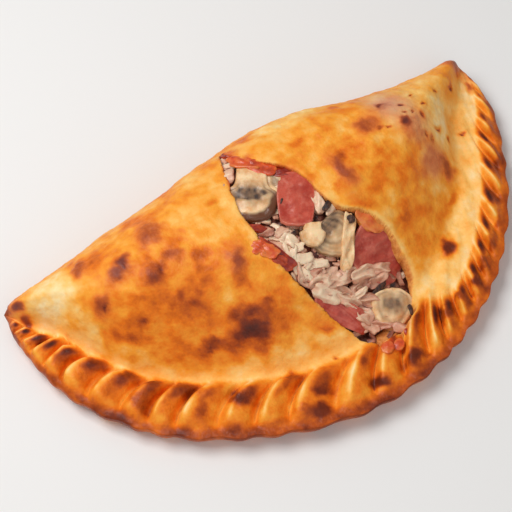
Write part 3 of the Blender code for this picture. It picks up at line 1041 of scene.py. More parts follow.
@dataclass(frozen=True)
class FillingFinish:
    """The shredded heap: each shred has its own colour, stored with it together with painted highlights
    and shade.
    """

    # The darkest stop is what the heap gets: painted shade in the gaps between the pieces.
    stops: tuple = ((0.0, srgb(66, 30, 24)), (0.22, srgb(134, 72, 54)), (0.45, srgb(194, 128, 102)),
                    (0.70, srgb(226, 176, 146)), (1.0, srgb(246, 218, 184)))
    sauce: Colour = srgb(172, 58, 28)

    def make(self) -> bpy.types.Material:
        """Build the material's nodes.

        Returns:
            The material.
        """
        shade = Shading("shredded_filling", roughness=0.32, soft=0.08)
        grain = shade.maths("SUBTRACT", shade.speckle(2.4, 3.0, 0.55), 0.5)
        tone = shade.maths("MULTIPLY_ADD", grain, 0.45, shade.attribute("shade"))
        colour = shade.ramp(tone, self.stops)
        colour = shade.blend(shade.attribute("sauce"), colour, self.sauce)
        normal = shade.bump(shade.speckle(1.2, 3.0), 0.25)
        return shade.done(colour, normal)


@dataclass(frozen=True)
class CharFinish:
    """Nearly black crumbs and singed bits, and dark strips of painted shade between the pieces."""

    dark: Colour = srgb(44, 24, 22)
    brown: Colour = srgb(92, 54, 34)

    def make(self) -> bpy.types.Material:
        """Build the material's nodes.

        Returns:
            The material.
        """
        shade = Shading("charred_and_shadow_bits", roughness=0.5)
        colour = shade.blend(shade.ranged(shade.speckle(1.5), 0.4, 0.6), self.dark, self.brown)
        return shade.done(colour, shade.bump(shade.speckle(0.7), 0.3))


@dataclass(frozen=True)
class PaleFinish:
    """The plain pale floor."""

    colour: Colour = (0.86, 0.85, 0.84)

    def make(self) -> bpy.types.Material:
        """Build the material's nodes.

        Returns:
            The material.
        """
        shade = Shading("pale_floor", roughness=0.9, specular=0.1)
        return shade.done(self.colour)


# Crust: the baked shell.


@dataclass(frozen=True)
class Mark:
    """A browned, pale or dusky patch: its place and reach in s and q, and how dark it bakes."""

    s: float
    q: float
    reach_s: float
    reach_q: float
    tone: float
    dusk: float = 0.0
    slant: float = 0.0
    lift: float = 0.0

    def weight(self, s: np.ndarray, q: np.ndarray) -> np.ndarray:
        """1 in the middle of the patch, falling to 0 past its reach.

        Args:
            s: the points' stations.
            q: their shares of the way to the rim.

        Returns:
            One weight a point.
        """
        off_q = q - self.q
        gap = ((s - self.s - self.slant * off_q) / self.reach_s) ** 2 + (off_q / self.reach_q) ** 2
        return np.exp(-0.8 * gap ** 1.4)


# Wide patches: how each part of the dome took the heat.
REGIONS = (
    Mark(0.29, 0.33, 0.15, 0.26, 0.41), Mark(0.29, 0.54, 0.10, 0.13, 0.53),
    Mark(0.125, 0.38, 0.042, 0.24, 0.10), Mark(0.165, 0.55, 0.03, 0.08, 0.12),
    Mark(0.38, 0.20, 0.05, 0.17, 0.36), Mark(0.44, 0.30, 0.03, 0.20, 0.26),
    Mark(0.34, 0.735, 0.14, 0.035, 0.22), Mark(0.43, 0.53, 0.03, 0.10, 0.38),
    Mark(0.60, 0.10, 0.07, 0.10, 0.20), Mark(0.61, 0.25, 0.08, 0.10, 0.38),
    Mark(0.69, 0.52, 0.07, 0.13, 0.42), Mark(0.72, 0.66, 0.06, 0.08, 0.42),
    Mark(0.79, 0.66, 0.05, 0.16, 0.16), Mark(0.66, 0.80, 0.08, 0.06, 0.24),
    Mark(0.83, 0.55, 0.045, 0.30, 0.12),
    Mark(0.78, 0.80, 0.06, 0.05, 0.20), Mark(0.90, 0.55, 0.03, 0.30, 0.32),
    Mark(0.86, 0.20, 0.05, 0.12, 0.28), Mark(0.225, 0.64, 0.03, 0.04, 0.24),
    Mark(0.762, 0.25, 0.034, 0.12, 0.24, 0.95), Mark(0.765, 0.40, 0.030, 0.08, 0.32, 0.60),
    Mark(0.752, 0.55, 0.030, 0.05, 0.40, 0.55),
)

# Blisters and scorched spots of the dome.
SPOTS = (
    Mark(0.178, 0.22, 0.013, 0.055, 0.66, 0.35, 0.0, 1.0), Mark(0.215, 0.20, 0.010, 0.030, 0.56, 0.1),
    Mark(0.251, 0.30, 0.010, 0.040, 0.84, 0.6, 0.02, 1.0), Mark(0.238, 0.345, 0.015, 0.035, 0.70, 0.7),
    Mark(0.303, 0.215, 0.018, 0.055, 0.64, 0.35, 0.0, 0.8), Mark(0.325, 0.350, 0.013, 0.030, 0.66, 0.3),
    Mark(0.285, 0.405, 0.016, 0.032, 0.76, 0.2, 0.0, 0.8), Mark(0.300, 0.380, 0.010, 0.020, 0.72, 0.1),
    Mark(0.362, 0.370, 0.012, 0.022, 0.62), Mark(0.207, 0.450, 0.010, 0.038, 0.68, 0.25, 0.0, 0.9),
    Mark(0.366, 0.440, 0.011, 0.018, 0.58), Mark(0.406, 0.445, 0.013, 0.036, 0.66, 0.5, 0.0, 0.9),
    Mark(0.404, 0.505, 0.011, 0.030, 0.62), Mark(0.256, 0.535, 0.010, 0.018, 0.66),
    Mark(0.230, 0.555, 0.016, 0.025, 0.58), Mark(0.200, 0.550, 0.008, 0.016, 0.50),
    Mark(0.392, 0.635, 0.024, 0.042, 0.95, 0.1, 0.0, 1.2), Mark(0.421, 0.600, 0.008, 0.014, 0.76),
    Mark(0.335, 0.655, 0.018, 0.020, 0.78, 0.0, 0.0, 0.6), Mark(0.365, 0.658, 0.013, 0.018, 0.70),
    Mark(0.436, 0.640, 0.016, 0.026, 0.60), Mark(0.392, 0.695, 0.026, 0.020, 0.66),
    Mark(0.445, 0.585, 0.013, 0.018, 0.52), Mark(0.300, 0.620, 0.018, 0.018, 0.56),
    Mark(0.480, 0.700, 0.009, 0.014, 0.64), Mark(0.415, 0.225, 0.010, 0.018, 0.50),
    Mark(0.352, 0.262, 0.006, 0.014, 0.50), Mark(0.275, 0.500, 0.014, 0.022, 0.56),
    Mark(0.585, 0.200, 0.014, 0.012, 0.56), Mark(0.690, 0.115, 0.012, 0.014, 0.54),
    Mark(0.698, 0.275, 0.020, 0.040, 0.62, 0.35, 0.0, 0.7), Mark(0.748, 0.235, 0.016, 0.028, 0.50, 0.35),
    Mark(0.752, 0.378, 0.011, 0.026, 0.72, 0.4, 0.0, 0.7),
    Mark(0.612, 0.375, 0.011, 0.055, 0.68, 0.45, 0.05, 0.7),
    Mark(0.595, 0.415, 0.014, 0.030, 0.52), Mark(0.771, 0.610, 0.014, 0.052, 0.66, 0.4, 0.06, 0.6),
    Mark(0.750, 0.555, 0.016, 0.030, 0.52), Mark(0.681, 0.775, 0.015, 0.028, 0.88, 0.0, 0.0, 0.8),
    Mark(0.740, 0.700, 0.018, 0.018, 0.56), Mark(0.650, 0.700, 0.014, 0.020, 0.46),
    Mark(0.530, 0.060, 0.020, 0.020, 0.56), Mark(0.640, 0.480, 0.018, 0.020, 0.52),
)

# Burst bubbles and pits, most of them on the right of the dome: s, q and radius in mm.
PITS = (
    (0.745, 0.225, 1.1), (0.775, 0.285, 1.2), (0.766, 0.330, 0.8), (0.752, 0.372, 1.4),
    (0.780, 0.350, 0.9), (0.791, 0.392, 1.3), (0.811, 0.262, 0.8), (0.812, 0.350, 0.9),
    (0.861, 0.340, 0.7), (0.802, 0.490, 1.2), (0.776, 0.495, 1.0), (0.770, 0.465, 0.9),
    (0.815, 0.550, 1.0), (0.710, 0.320, 1.0), (0.722, 0.340, 0.8), (0.851, 0.632, 1.3),
    (0.902, 0.420, 1.1), (0.301, 0.388, 0.9), (0.250, 0.325, 0.9), (0.207, 0.462, 0.9),
    (0.405, 0.448, 0.7), (0.257, 0.536, 1.0), (0.412, 0.640, 0.8), (0.475, 0.790, 1.0),
)

# Scorched tops of the twisted edge.
SCORCHES = (
    Mark(0.050, 0.360, 0.009, 0.050, 0.80, 0.6), Mark(0.067, 0.490, 0.009, 0.050, 0.76, 0.5),
    Mark(0.092, 0.660, 0.009, 0.080, 0.78, 0.1, -0.10), Mark(0.133, 0.700, 0.011, 0.075, 0.72, 0.0, -0.15),
    Mark(0.178, 0.695, 0.011, 0.050, 0.76, 0.0, -0.18), Mark(0.215, 0.745, 0.013, 0.045, 0.82, 0.0, -0.18),
    Mark(0.185, 0.870, 0.011, 0.060, 0.60, 0.0, -0.12), Mark(0.248, 0.775, 0.011, 0.045, 0.74, 0.0, -0.18),
    Mark(0.225, 0.880, 0.012, 0.055, 0.70, 0.0, -0.12), Mark(0.287, 0.790, 0.012, 0.040, 0.76, 0.0, -0.15),
    Mark(0.258, 0.870, 0.009, 0.060, 0.56, 0.0, -0.12), Mark(0.297, 0.885, 0.009, 0.040, 0.72, 0.0, -0.1),
    Mark(0.346, 0.845, 0.016, 0.030, 0.92), Mark(0.412, 0.820, 0.013, 0.024, 0.74),
    Mark(0.422, 0.945, 0.015, 0.026, 0.86), Mark(0.455, 0.830, 0.012, 0.024, 0.58),
    Mark(0.440, 0.872, 0.011, 0.030, 0.82), Mark(0.372, 0.968, 0.016, 0.018, 0.62),
    Mark(0.500, 0.940, 0.013, 0.026, 0.90), Mark(0.548, 0.940, 0.012, 0.028, 0.92),
    Mark(0.613, 0.912, 0.010, 0.034, 0.80), Mark(0.640, 0.925, 0.007, 0.026, 0.74),
    Mark(0.666, 0.938, 0.009, 0.024, 0.86), Mark(0.696, 0.934, 0.008, 0.022, 0.76),
    Mark(0.726, 0.944, 0.009, 0.022, 0.72), Mark(0.756, 0.948, 0.008, 0.022, 0.70),
    Mark(0.788, 0.912, 0.010, 0.034, 0.76), Mark(0.834, 0.926, 0.011, 0.030, 0.76),
    Mark(0.886, 0.890, 0.010, 0.040, 0.62), Mark(0.942, 0.680, 0.008, 0.090, 0.60, 0.3),
    Mark(0.962, 0.330, 0.016, 0.120, 0.62, 0.5), Mark(0.640, 0.990, 0.012, 0.012, 0.5),
)

SAUCE_STAINS = (
    Mark(0.487, 0.095, 0.012, 0.030, 0.8), Mark(0.503, 0.145, 0.012, 0.012, 0.7),
    Mark(0.527, 0.862, 0.011, 0.020, 0.8), Mark(0.543, 0.870, 0.010, 0.018, 0.7),
    Mark(0.566, 0.846, 0.010, 0.012, 0.4), Mark(0.600, 0.470, 0.010, 0.030, 0.35),
    Mark(0.452, 0.470, 0.005, 0.030, 0.35), Mark(0.482, 0.665, 0.005, 0.030, 0.30),
)


@dataclass(frozen=True)
class Relief:
    """Heights of the dough's relief, in mm."""

    undulation: float = 0.55
    lumps: float = 0.30
    grain: float = 0.10
    blister: float = 0.8
    pit_edge: float = 0.5
    pit_depth: float = 0.9
    lip_wave: float = 0.7
    ridge: float = 0.7
    lobe: float = 1.0
    crease: float = 1.3
    dents: float = 1.1
    fibres: float = 0.4


@dataclass(frozen=True)
class Baking:
    """How far each part is baked, from 0 for pale dough to 1 for char, and how uneven it is; some entries
    paint shade and highlights into the same tone.
    """

    plain: float = 0.37
    wide_clouds: float = 0.12
    small_clouds: float = 0.06
    halo_from: float = 0.6
    halo: float = 0.5
    tip: float = 0.66
    tip_clouds: float = 0.12
    tip_dusk: float = 0.7
    pit: float = 0.82
    pit_dusk: float = 0.3
    under: float = 0.50
    under_clouds: float = 0.22
    # Painted shade: the tone that the foot of the side is darkened toward.
    foot: float = 0.62
    foot_shade_share: float = 0.8
    # Painted highlight: the pale tone of the band along the right lip's top edge.
    lip: float = 0.16
    lip_highlight_share: float = 0.8
    lip_highlight_reach: float = 2.2 * MM
    stained_wall: float = 0.8
    edge: float = 0.40
    lobe: float = 0.14
    core: float = 0.42
    # Painted highlight: how much paler the pleats' crests are made.
    crest_highlight: float = 0.28
    # Painted shade: how much darker the rim side is made, as it faces down and away from the light.
    side: float = 0.30
    valley: float = 0.24
    edge_clouds: float = 0.10


@dataclass
class Crust:
    """The closed shell of dough with its torn split."""

    shape: HalfMoon
    split: Split
    heights: Relief = Relief()
    baking: Baking = Baking()
    gentle_rows: int = 9
    steep_rows: int = 5
    tip_rows: int = 14
    tip_reach: float = 0.025
    tip_share: float = 0.5
    dome_columns: int = 92
    band_columns: int = 56
    foot_columns: int = 5
    floor_columns: int = 12
    wall: float = 4.5 * MM
    floor: float = 3.5 * MM
    hollow_columns: int = 30
    hollow_rows: int = 90
    lip_rise: float = 1.5 * MM

    def pleat_lines(self) -> np.ndarray:
        """Pleat lines of the mesh, closest on the steep sides of the pleats.

        Returns:
            The pleat lines, rising.
        """
        lines = [np.linspace(self.shape.tip_start, self.shape.crest_at[0], self.tip_rows)[:-1]]
        crease = 1 - self.shape.crest_steep
        gentle = np.linspace(0, crease, self.gentle_rows + 1)[:-1]
        steep = np.linspace(crease, 1, self.steep_rows + 1)[:-1]
        for here, after in zip(self.shape.crest_at, self.shape.crest_at[1:]):
            lines.append(here + (after - here) * np.concatenate([gentle, steep]))
        end = 1 - self.shape.tip_start
        lines.append(np.linspace(self.shape.crest_at[-1], end, self.tip_rows))
        return np.concatenate(lines)

    def ring(self, sigma: float) -> np.ndarray:
        """One closed section, from the fold over the top, down the rim and back underneath.

        Args:
            sigma: the pleat line that the section follows.

        Returns:
            The section's points.
        """
        shape = self.shape
        u = np.linspace(0, 1, self.dome_columns)
        w = np.linspace(0, 1, self.band_columns + 1)[1:]
        k = np.sin(np.linspace(0, 0.5 * np.pi, self.foot_columns + 1)[1:])
        dome_r = shape.crest_middle + (shape.band_reach - shape.crest_middle) * u ** 2
        band_r = shape.band_reach * (1 - w) ** 1.25
        lean = shape.lean(sigma, np.concatenate([dome_r, band_r]))
        _, _, width = shape.span(lean)
        band = shape.band_width(width)
        part = 0.55 * (1 - np.cos(0.5 * np.pi * u)) + 0.45 * u
        reach = np.concatenate([shape.band_reach * np.ones(self.dome_columns), band_r])
        d = width - reach * band
        d[:self.dome_columns] *= part
        top = shape.skin(np.full(d.shape, sigma), lean, d)
        under = []
        for at, at_rim in ((lean[-1], True), (lean[0], False)):
            wide = shape.span(np.array([at]))[2][0]
            foot = min(shape.foot_rounding, 0.3 * float(wide)) * (1 - np.sqrt(1 - k ** 2))
            station = np.full(k.shape, at)
            points = shape.skin(np.full(k.shape, sigma), station, wide - foot if at_rim else foot)
            points[:, 2] = shape.side_bulge * (0.5 + 0.5 * math.sin(math.pi * at)) * (1 - k)
            under.append(points)
        share = np.linspace(0, 1, self.floor_columns + 2)[1:-1, None]
        flat = under[0][-1] + (under[1][-1] - under[0][-1]) * share
        return np.concatenate([top, under[0], flat, under[1][::-1], top[:1]])

    def shell(self) -> bpy.types.Object:
        """The whole outside as one closed skin.

        Returns:
            The shell, without hollow or split.
        """
        rings = []
        for sigma in self.pleat_lines():
            ring = self.ring(sigma)
            centre = ring[:-1].mean(axis=0)
            from_tip = (min(sigma, 1 - sigma) - self.shape.tip_start) / self.tip_reach
            rounding = math.sqrt(1 - max(0.0, 1 - from_tip) ** 2)
            rings.append(centre + (ring - centre) * (self.tip_share + (1 - self.tip_share) * rounding))
        noses = [ring[:-1].mean(axis=0) for ring in (rings[0], rings[-1])]
        noses[0][0] -= self.shape.tip_nose
        noses[1][0] += self.shape.tip_nose
        first, last = (np.tile(nose, (len(rings[0]), 1)) for nose in noses)
        return wrap("crust_shell", np.stack([first, *rings, last]))

    def relief(self, obj: bpy.types.Object) -> None:
        """Swell blisters, lumps and fine wrinkles out of the smooth skin.

        Args:
            obj: the shell.
        """
        points = corners(obj)
        facing = normals(obj)
        place = self.shape.locate(points)
        mm = points / MM
        dome = smoothstep(place.r, 0.95, 1.5)
        upper = smoothstep(facing[:, 2], -0.2, 0.3)
        high = self.heights
        height = dome * (high.undulation * (cloud(mm, 24.0, 2, 1.0) - 0.5)
                         + high.lumps * cloud(mm, 8.0, 3, 2.0))
        height += high.grain * cloud(mm, 2.6, 2, 3.0)
        s, q = self.warped(mm, place)
        for mark in SPOTS:
            if mark.lift:
                uneven = 0.8 + 0.5 * cloud(mm, 3.0, 2, 4.0)
                height += high.blister * mark.lift * mark.weight(s, q) * uneven
        height += self.strands(place, mm)
        for gap in self.pit_gaps(points):
            height += high.pit_edge * np.exp(-((gap - 1.3) / 0.5) ** 2)
            height -= high.pit_depth * np.exp(-gap ** 2 * 1.2)
        outside, rightward = self.split.lip_distance(points[:, 0], points[:, 1])
        height += high.lip_wave * np.exp(-(outside / (4 * MM)) ** 2) * (cloud(mm, 13.0, 2, 6.0) - 0.1)
        points += facing * (height * upper * MM)[:, None]
        raised = np.exp(-(outside / (7 * MM)) ** 2) * smoothstep(rightward / MM, -2, 4) * upper
        points[:, 2] += self.lip_rise * raised * smoothstep(-mm[:, 1], 52, 76)
        points[:, 2] = np.where(facing[:, 2] < -0.9, np.maximum(points[:, 2], 0), points[:, 2])
        move_corners(obj, points)

    def strands(self, place: Place, mm: np.ndarray) -> np.ndarray:
        """Extra relief of the twisted edge in mm: sharp crests, plump lobes, deep creases.

        Args:
            place: the points' places.
            mm: the points in mm.

        Returns:
            One height a point.
        """
        turns = self.shape.phase(place.sigma)
        part = turns % 1.0
        full = np.clip(place.band / self.shape.flange, 0.3, 1.0)
        top = self.shape.top(place.sigma)
        cover = smoothstep(place.r, 0.10, 0.34) * (1 - smoothstep(place.r - top, -0.14, 0.12)) * full
        crease = 1 - self.shape.crest_steep
        ridge = np.exp(-(np.minimum(part, 1 - part) / 0.07) ** 2)
        lobe = np.sin(np.pi * np.clip(part / crease, 0, 1))
        fold = np.exp(-((part - crease) / 0.06) ** 2)
        high = self.heights
        height = cover * (high.ridge * ridge + high.lobe * lobe - high.crease * fold)
        dents = cloud(np.stack([turns * 0.9, place.r * 1.6, 0 * turns], -1), 1.0, 2, 8.0)
        dented = smoothstep(place.r - top, -0.1, 0.1) * (1 - smoothstep(place.r, 1.0, 1.5))
        height += high.dents * dents * dented
        fibres = cloud(np.stack([turns * 3.5, place.r * 1.5, mm[:, 2] * 0.1], -1), 1.0, 3, 5.0)
        band = smoothstep(place.r, 0.0, 0.2) * (1 - smoothstep(place.r - top, -0.15, 0.05))
        return height + high.fibres * band * fibres

    def pit_gaps(self, points: np.ndarray) -> list[np.ndarray]:
        """Distances from each pit in its own radii; pits are longer than wide.

        Args:
            points: rows of x, y, z.

        Returns:
            For each pit, one distance a point.
        """
        gaps = []
        for number, (at_s, at_q, radius) in enumerate(PITS):
            spot = self.shape.smooth_skin(at_s, at_q)
            turn = 0.5 + 0.9 * math.sin(5.3 * number)
            x = (points[:, 0] - spot.x) / (radius * MM)
            y = (points[:, 1] - spot.y) / (radius * MM)
            along = x * math.cos(turn) + y * math.sin(turn)
            across = y * math.cos(turn) - x * math.sin(turn)
            gaps.append(np.hypot(along / 1.7, across / 0.8 + 0.25 * along ** 2 * math.cos(number)))
        return gaps

    def warped(self, mm: np.ndarray, place: Place) -> tuple[np.ndarray, np.ndarray]:
        """s and q pushed about a little, so that the patches have uneven edges.

        Args:
            mm: the points in mm.
            place: their places.

        Returns:
            The pushed s and q.
        """
        s = place.s + 0.0055 * cloud(mm, 9.0, 3, 11.0)
        q = place.q + 0.016 * cloud(mm, 9.0, 3, 12.0)
        return s, q

    def hollow(self, inset: float = 0.0, rows: int = 0, columns: int = 0,
               sink: Optional[Callable] = None) -> np.ndarray:
        """Rings of the space under the dome, or of the filling when it is drawn in.

        Args:
            inset: how far the rings are drawn in.
            rows: how many rings, the hollow's own count if 0.
            columns: how many points over the top of a ring, its own count if 0.
            sink: how far the top points are sunk, from their places.

        Returns:
            The rings, each closed.
        """
        shape = self.shape
        rings = []
        trim = 2 * inset / (math.pi * shape.half_length)
        for s in np.linspace(0.07 + trim, 0.93 - trim, rows or self.hollow_rows):
            width = float(shape.span(np.array([s]))[2][0])
            band = float(shape.band_width(width))
            near = self.wall + 1.5 * MM + inset
            far = width - shape.valley_at * band - inset
            u = np.linspace(0, 1, columns or self.hollow_columns)
            d = near + (far - near) * (0.6 * u + 0.4 * u * u)
            at = np.full(d.shape, s)
            points = shape.skin(at, at, d)
            step = 0.5 * MM
            slope = (shape.skin(at, at, d + step)[:, 2] - shape.skin(at, at, d - step)[:, 2]) / (2 * step)
            points[:, 2] -= (self.wall + inset) * np.minimum(np.sqrt(1 + slope ** 2), 2.0)
            if sink is not None:
                points[:, 2] -= sink(points)
            points[:, 2] = np.maximum(points[:, 2], self.floor + 2 * MM - inset)
            under = points[::-1][[0, len(points) // 2, -1]].copy()
            under[:, 2] = self.floor + inset
            rings.append(np.concatenate([points, under, points[:1]]))
        return np.stack(rings)

    def soften_lips(self, obj: bpy.types.Object, reach: float = 1.3 * MM) -> None:
        """Round the sharp upper edges that the cut leaves.

        Args:
            obj: the cut shell.
            reach: half the width of the softened strip.
        """
        bm = bmesh.new()
        bm.from_mesh(obj.data)
        keep_largest(bm)
        bm.verts.ensure_lookup_table()
        points = np.array([vert.co for vert in bm.verts])
        outside, _ = self.split.lip_distance(points[:, 0], points[:, 1])
        near = (np.abs(outside) < 2 * reach) & (points[:, 2] > 12 * MM)
        chosen = [vert for vert, hit in zip(bm.verts, near) if hit]
        for _ in range(3):
            bmesh.ops.smooth_vert(bm, verts=chosen, factor=0.5, use_axis_x=True,
                                  use_axis_y=True, use_axis_z=True)
        bm.to_mesh(obj.data)
        bm.free()
        obj.data.shade_smooth()

    def browning(self, obj: bpy.types.Object) -> None:
        """Paint how far each point is baked, dusky, torn and stained, with painted shade and highlights in
        the baked tone.

        Args:
            obj: the finished shell.
        """
        points = corners(obj)
        facing = normals(obj)
        place = self.shape.locate(points)
        mm = points / MM
        s, q = self.warped(mm, place)
        outside, rightward = self.split.lip_distance(points[:, 0], points[:, 1])
        tone, dusk = self.heat(place, s, q, mm)
        self.add_spots(tone, dusk, place, s, q)
        self.add_tips_and_pits(tone, dusk, s, points)
        self.add_underside(tone, points, facing)
        self.add_lip_highlight(tone, outside, rightward, points)
        paint(obj, "tone", np.clip(tone, 0.02, 1.0))
        paint(obj, "dusk", np.clip(dusk, 0, 1))
        torn = self.crumb(points, place, outside)
        paint(obj, "crumb", torn)
        stain = self.baking.stained_wall * torn * smoothstep(points[:, 1], -36 * MM, -24 * MM)
        for mark in SAUCE_STAINS:
            stain = np.maximum(stain, mark.tone * mark.weight(s, q))
        paint(obj, "stain", stain)

    def heat(self, place: Place, s: np.ndarray, q: np.ndarray,
             mm: np.ndarray) -> tuple[np.ndarray, np.ndarray]:
        """How far the dome and the twisted edge are baked, before their spots, with the edge's painted
        highlights and shade.

        Args:
            place: the points' places.
            s: their stations, pushed about a little.
            q: their shares of the way to the rim, pushed about a little.
            mm: the points in mm.

        Returns:
            The tone and the dusk of each point.
        """
        tone = np.full(len(mm), self.baking.plain)
        dusk = np.zeros(len(mm))
        for mark in REGIONS:
            weight = mark.weight(s, q)
            tone += (mark.tone - tone) * weight
            dusk += (mark.dusk - dusk) * weight
        tone += self.baking.wide_clouds * cloud(mm, 15.0, 3, 21.0)
        tone += self.baking.small_clouds * cloud(mm, 5.0, 2, 22.0)
        band = 1 - smoothstep(place.r, 1.0, 1.45)
        tone += (self.edge_tone(place, mm) - tone) * band
        return tone, dusk

    def add_spots(self, tone: np.ndarray, dusk: np.ndarray, place: Place, s: np.ndarray,
                  q: np.ndarray) -> None:
        """Darken the blisters and the scorched tops, the dark ones with a browned halo.

        Args:
            tone: the tones, changed in place.
            dusk: the dusks, changed in place.
            place: the points' places.
            s: their stations, pushed about a little.
            q: their shares of the way to the rim, pushed about a little.
        """
        for mark in SPOTS + SCORCHES:
            weight = mark.weight(s, q)
            halo = mark.weight(place.s + (s - place.s) * 0.5, q) ** 0.35
            halo = halo * (mark.tone > self.baking.halo_from)
            tone += np.maximum(0.5 - tone, 0) * self.baking.halo * halo
            tone += np.maximum(mark.tone - tone, 0) * weight
            dusk += np.maximum(mark.dusk - dusk, 0) * weight

    def add_tips_and_pits(self, tone: np.ndarray, dusk: np.ndarray, s: np.ndarray,
                          points: np.ndarray) -> None:
        """Darken the two tips and the burst bubbles.

        Args:
            tone: the tones, changed in place.
            dusk: the dusks, changed in place.
            s: the points' stations, pushed about a little.
            points: rows of x, y, z.
        """
        tips = smoothstep(np.abs(s - 0.5), 0.435, 0.49)
        baked = self.baking.tip + self.baking.tip_clouds * cloud(points / MM, 6.0, 2, 23.0)
        tone += (baked - tone) * tips
        dusk += (self.baking.tip_dusk - dusk) * tips
        for gap in self.pit_gaps(points):
            pit = np.exp(-gap ** 2 * 0.9)
            tone += np.maximum(self.baking.pit - tone, 0) * pit
            dusk += np.maximum(self.baking.pit_dusk - dusk, 0) * pit

    def add_underside(self, tone: np.ndarray, points: np.ndarray, facing: np.ndarray) -> None:
        """Bake the underside unevenly, and darken the foot of the side toward the floor as painted shade.

        Args:
            tone: the tones, changed in place.
            points: rows of x, y, z.
            facing: the points' normals.
        """
        under = smoothstep(-facing[:, 2], 0.3, 0.8)
        baked = self.baking.under + self.baking.under_clouds * cloud(points / MM, 16.0, 3, 24.0)
        tone += (baked - tone) * under
        # Painted shade: darker toward the floor along the foot of the side.
        low = (1 - smoothstep(points[:, 2], 1 * MM, 9 * MM)) * (1 - under)
        tone += (self.baking.foot - tone) * low * self.baking.foot_shade_share

    def add_lip_highlight(self, tone: np.ndarray, outside: np.ndarray, rightward: np.ndarray,
                     points: np.ndarray) -> None:
        """Paint a highlight along the lower part of the right lip: a pale band on its top edge.

        Args:
            tone: the tones, changed in place.
            outside: how far each point lies outside the split.
            rightward: how far it is to the right of the split's middle.
            points: rows of x, y, z.
        """
        # Painted highlight: a pale band along the top edge of the right lip.
        pale = np.exp(-(outside / self.baking.lip_highlight_reach) ** 2) * smoothstep(rightward / MM, 0, 3)
        pale *= smoothstep(-points[:, 1], 45 * MM, 60 * MM)
        tone += (self.baking.lip - tone) * self.baking.lip_highlight_share * pale

    def crumb(self, points: np.ndarray, place: Place, outside: np.ndarray) -> np.ndarray:
        """1 on the torn wall under the lips, 0 on the baked skin."""
        depth = self.shape.skin(place.sigma, place.s, place.d)[:, 2] - points[:, 2]
        return smoothstep(depth, 0.3 * MM, 1.2 * MM) * (1 - smoothstep(outside, 0.0, 1.2 * MM))

    def edge_tone(self, place: Place, mm: np.ndarray) -> np.ndarray:
        """The twisted edge's tone: brown lobes, crests made paler as a painted highlight, and a rim side
        darkened as painted shade.

        Args:
            place: the points' places.
            mm: the points in mm.

        Returns:
            One tone a point.
        """
        turns = self.shape.phase(place.sigma)
        part = turns % 1.0
        uneven = 0.85 + 0.35 * np.sin(12.9 * np.floor(turns) + 1.0)
        top = self.shape.top(place.sigma)
        r = place.r / top
        cover = smoothstep(r, 0.20, 0.45) * (1 - smoothstep(r, 0.86, 1.04))
        lobe = smoothstep(part, 0.05, 0.16) * (1 - smoothstep(part, 0.45, 0.80)) * cover
        core = np.exp(-((r - 0.78) / 0.17) ** 2 - ((part - 0.30) / 0.17) ** 2)
        # Painted highlight: the crest lines of the pleats are made paler.
        crest_highlight = np.exp(-(np.minimum(part, 1 - part) / 0.07) ** 2) * smoothstep(r, 0.25, 0.45)
        crest_highlight *= 1 - smoothstep(r, 1.0, 1.15)
        # Painted shade: the rim side, which faces down and away from the light, is darkened.
        side = 1 - smoothstep(place.r, 0.05, 0.30)
        cream = smoothstep(r, 0.98, 1.12) * (1 - smoothstep(place.r, 1.1, 1.4))
        baked = self.baking
        tone = baked.edge + baked.lobe * lobe * uneven + baked.core * core * uneven
        tone += baked.side * side - baked.valley * cream - baked.crest_highlight * crest_highlight
        return tone + baked.edge_clouds * cloud(mm, 11.0, 3, 25.0)

    def build(self, material: bpy.types.Material) -> bpy.types.Object:
        """Model, cut, paint and dress the crust.

        Args:
            material: the dough's finish.

        Returns:
            The crust.
        """
        crust = self.shell()
        self.relief(crust)
        cut_away(crust, wrap("hollow_cutter", self.hollow()))
        cut_away(crust, self.split.cutter(self.shape, self.wall))
        self.soften_lips(crust)
        self.browning(crust)
        crust.name = "baked_crust"
        return finish_piece(crust, material, ["crust"], self.shape)


# Filling: what shows in the split.


@dataclass
class Heap:
    """The filling under the dome, sunk and lumpy where the split shows it, painted nearly black as shade
    in the gaps between the pieces.
    """

    crust: Crust
    rows: int = 260
    columns: int = 110
    gap: float = 0.35 * MM
    depth: float = 3.6 * MM
    bumps: float = 1.2
    # Painted shade: the heap's dark tone stands for the shade between the pieces.
    shade: float = 0.02
    clouds: float = 0.24
    sauce: float = 0.35

    def sink(self, points: np.ndarray) -> np.ndarray:
        """How far the heap lies below the hollow's roof.

        Args:
            points: rows of x, y, z.

        Returns:
            One depth a point.
        """
        x, y = points[:, 0], points[:, 1]
        shown = self.crust.split.inside(x, y, 5 * MM)
        flat = np.stack([x, y, 0 * x], -1) / MM
        lumps = np.abs(cloud(flat, 6.0, 3, 31.0)) * self.bumps
        return shown * (self.depth - lumps * MM)

    def build(self, material: bpy.types.Material) -> bpy.types.Object:
        """Model, paint and dress the heap.

        Args:
            material: the filling's finish.

        Returns:
            The heap.
        """
        rings = self.crust.hollow(self.gap, self.rows, self.columns, self.sink)
        heap = wrap("filling_heap", rings)
        mm = corners(heap) / MM
        # Painted shade: the heap is painted nearly black, as the shade in the gaps between the pieces.
        paint(heap, "shade", np.clip(self.shade + self.clouds * np.abs(cloud(mm, 5.0, 3, 31.0)), 0, 1))
        paint(heap, "sauce", self.sauce * smoothstep(cloud(mm, 12.0, 2, 33.0), 0.0, 0.6))
        return finish_piece(heap, material, ["filling"], self.crust.shape)


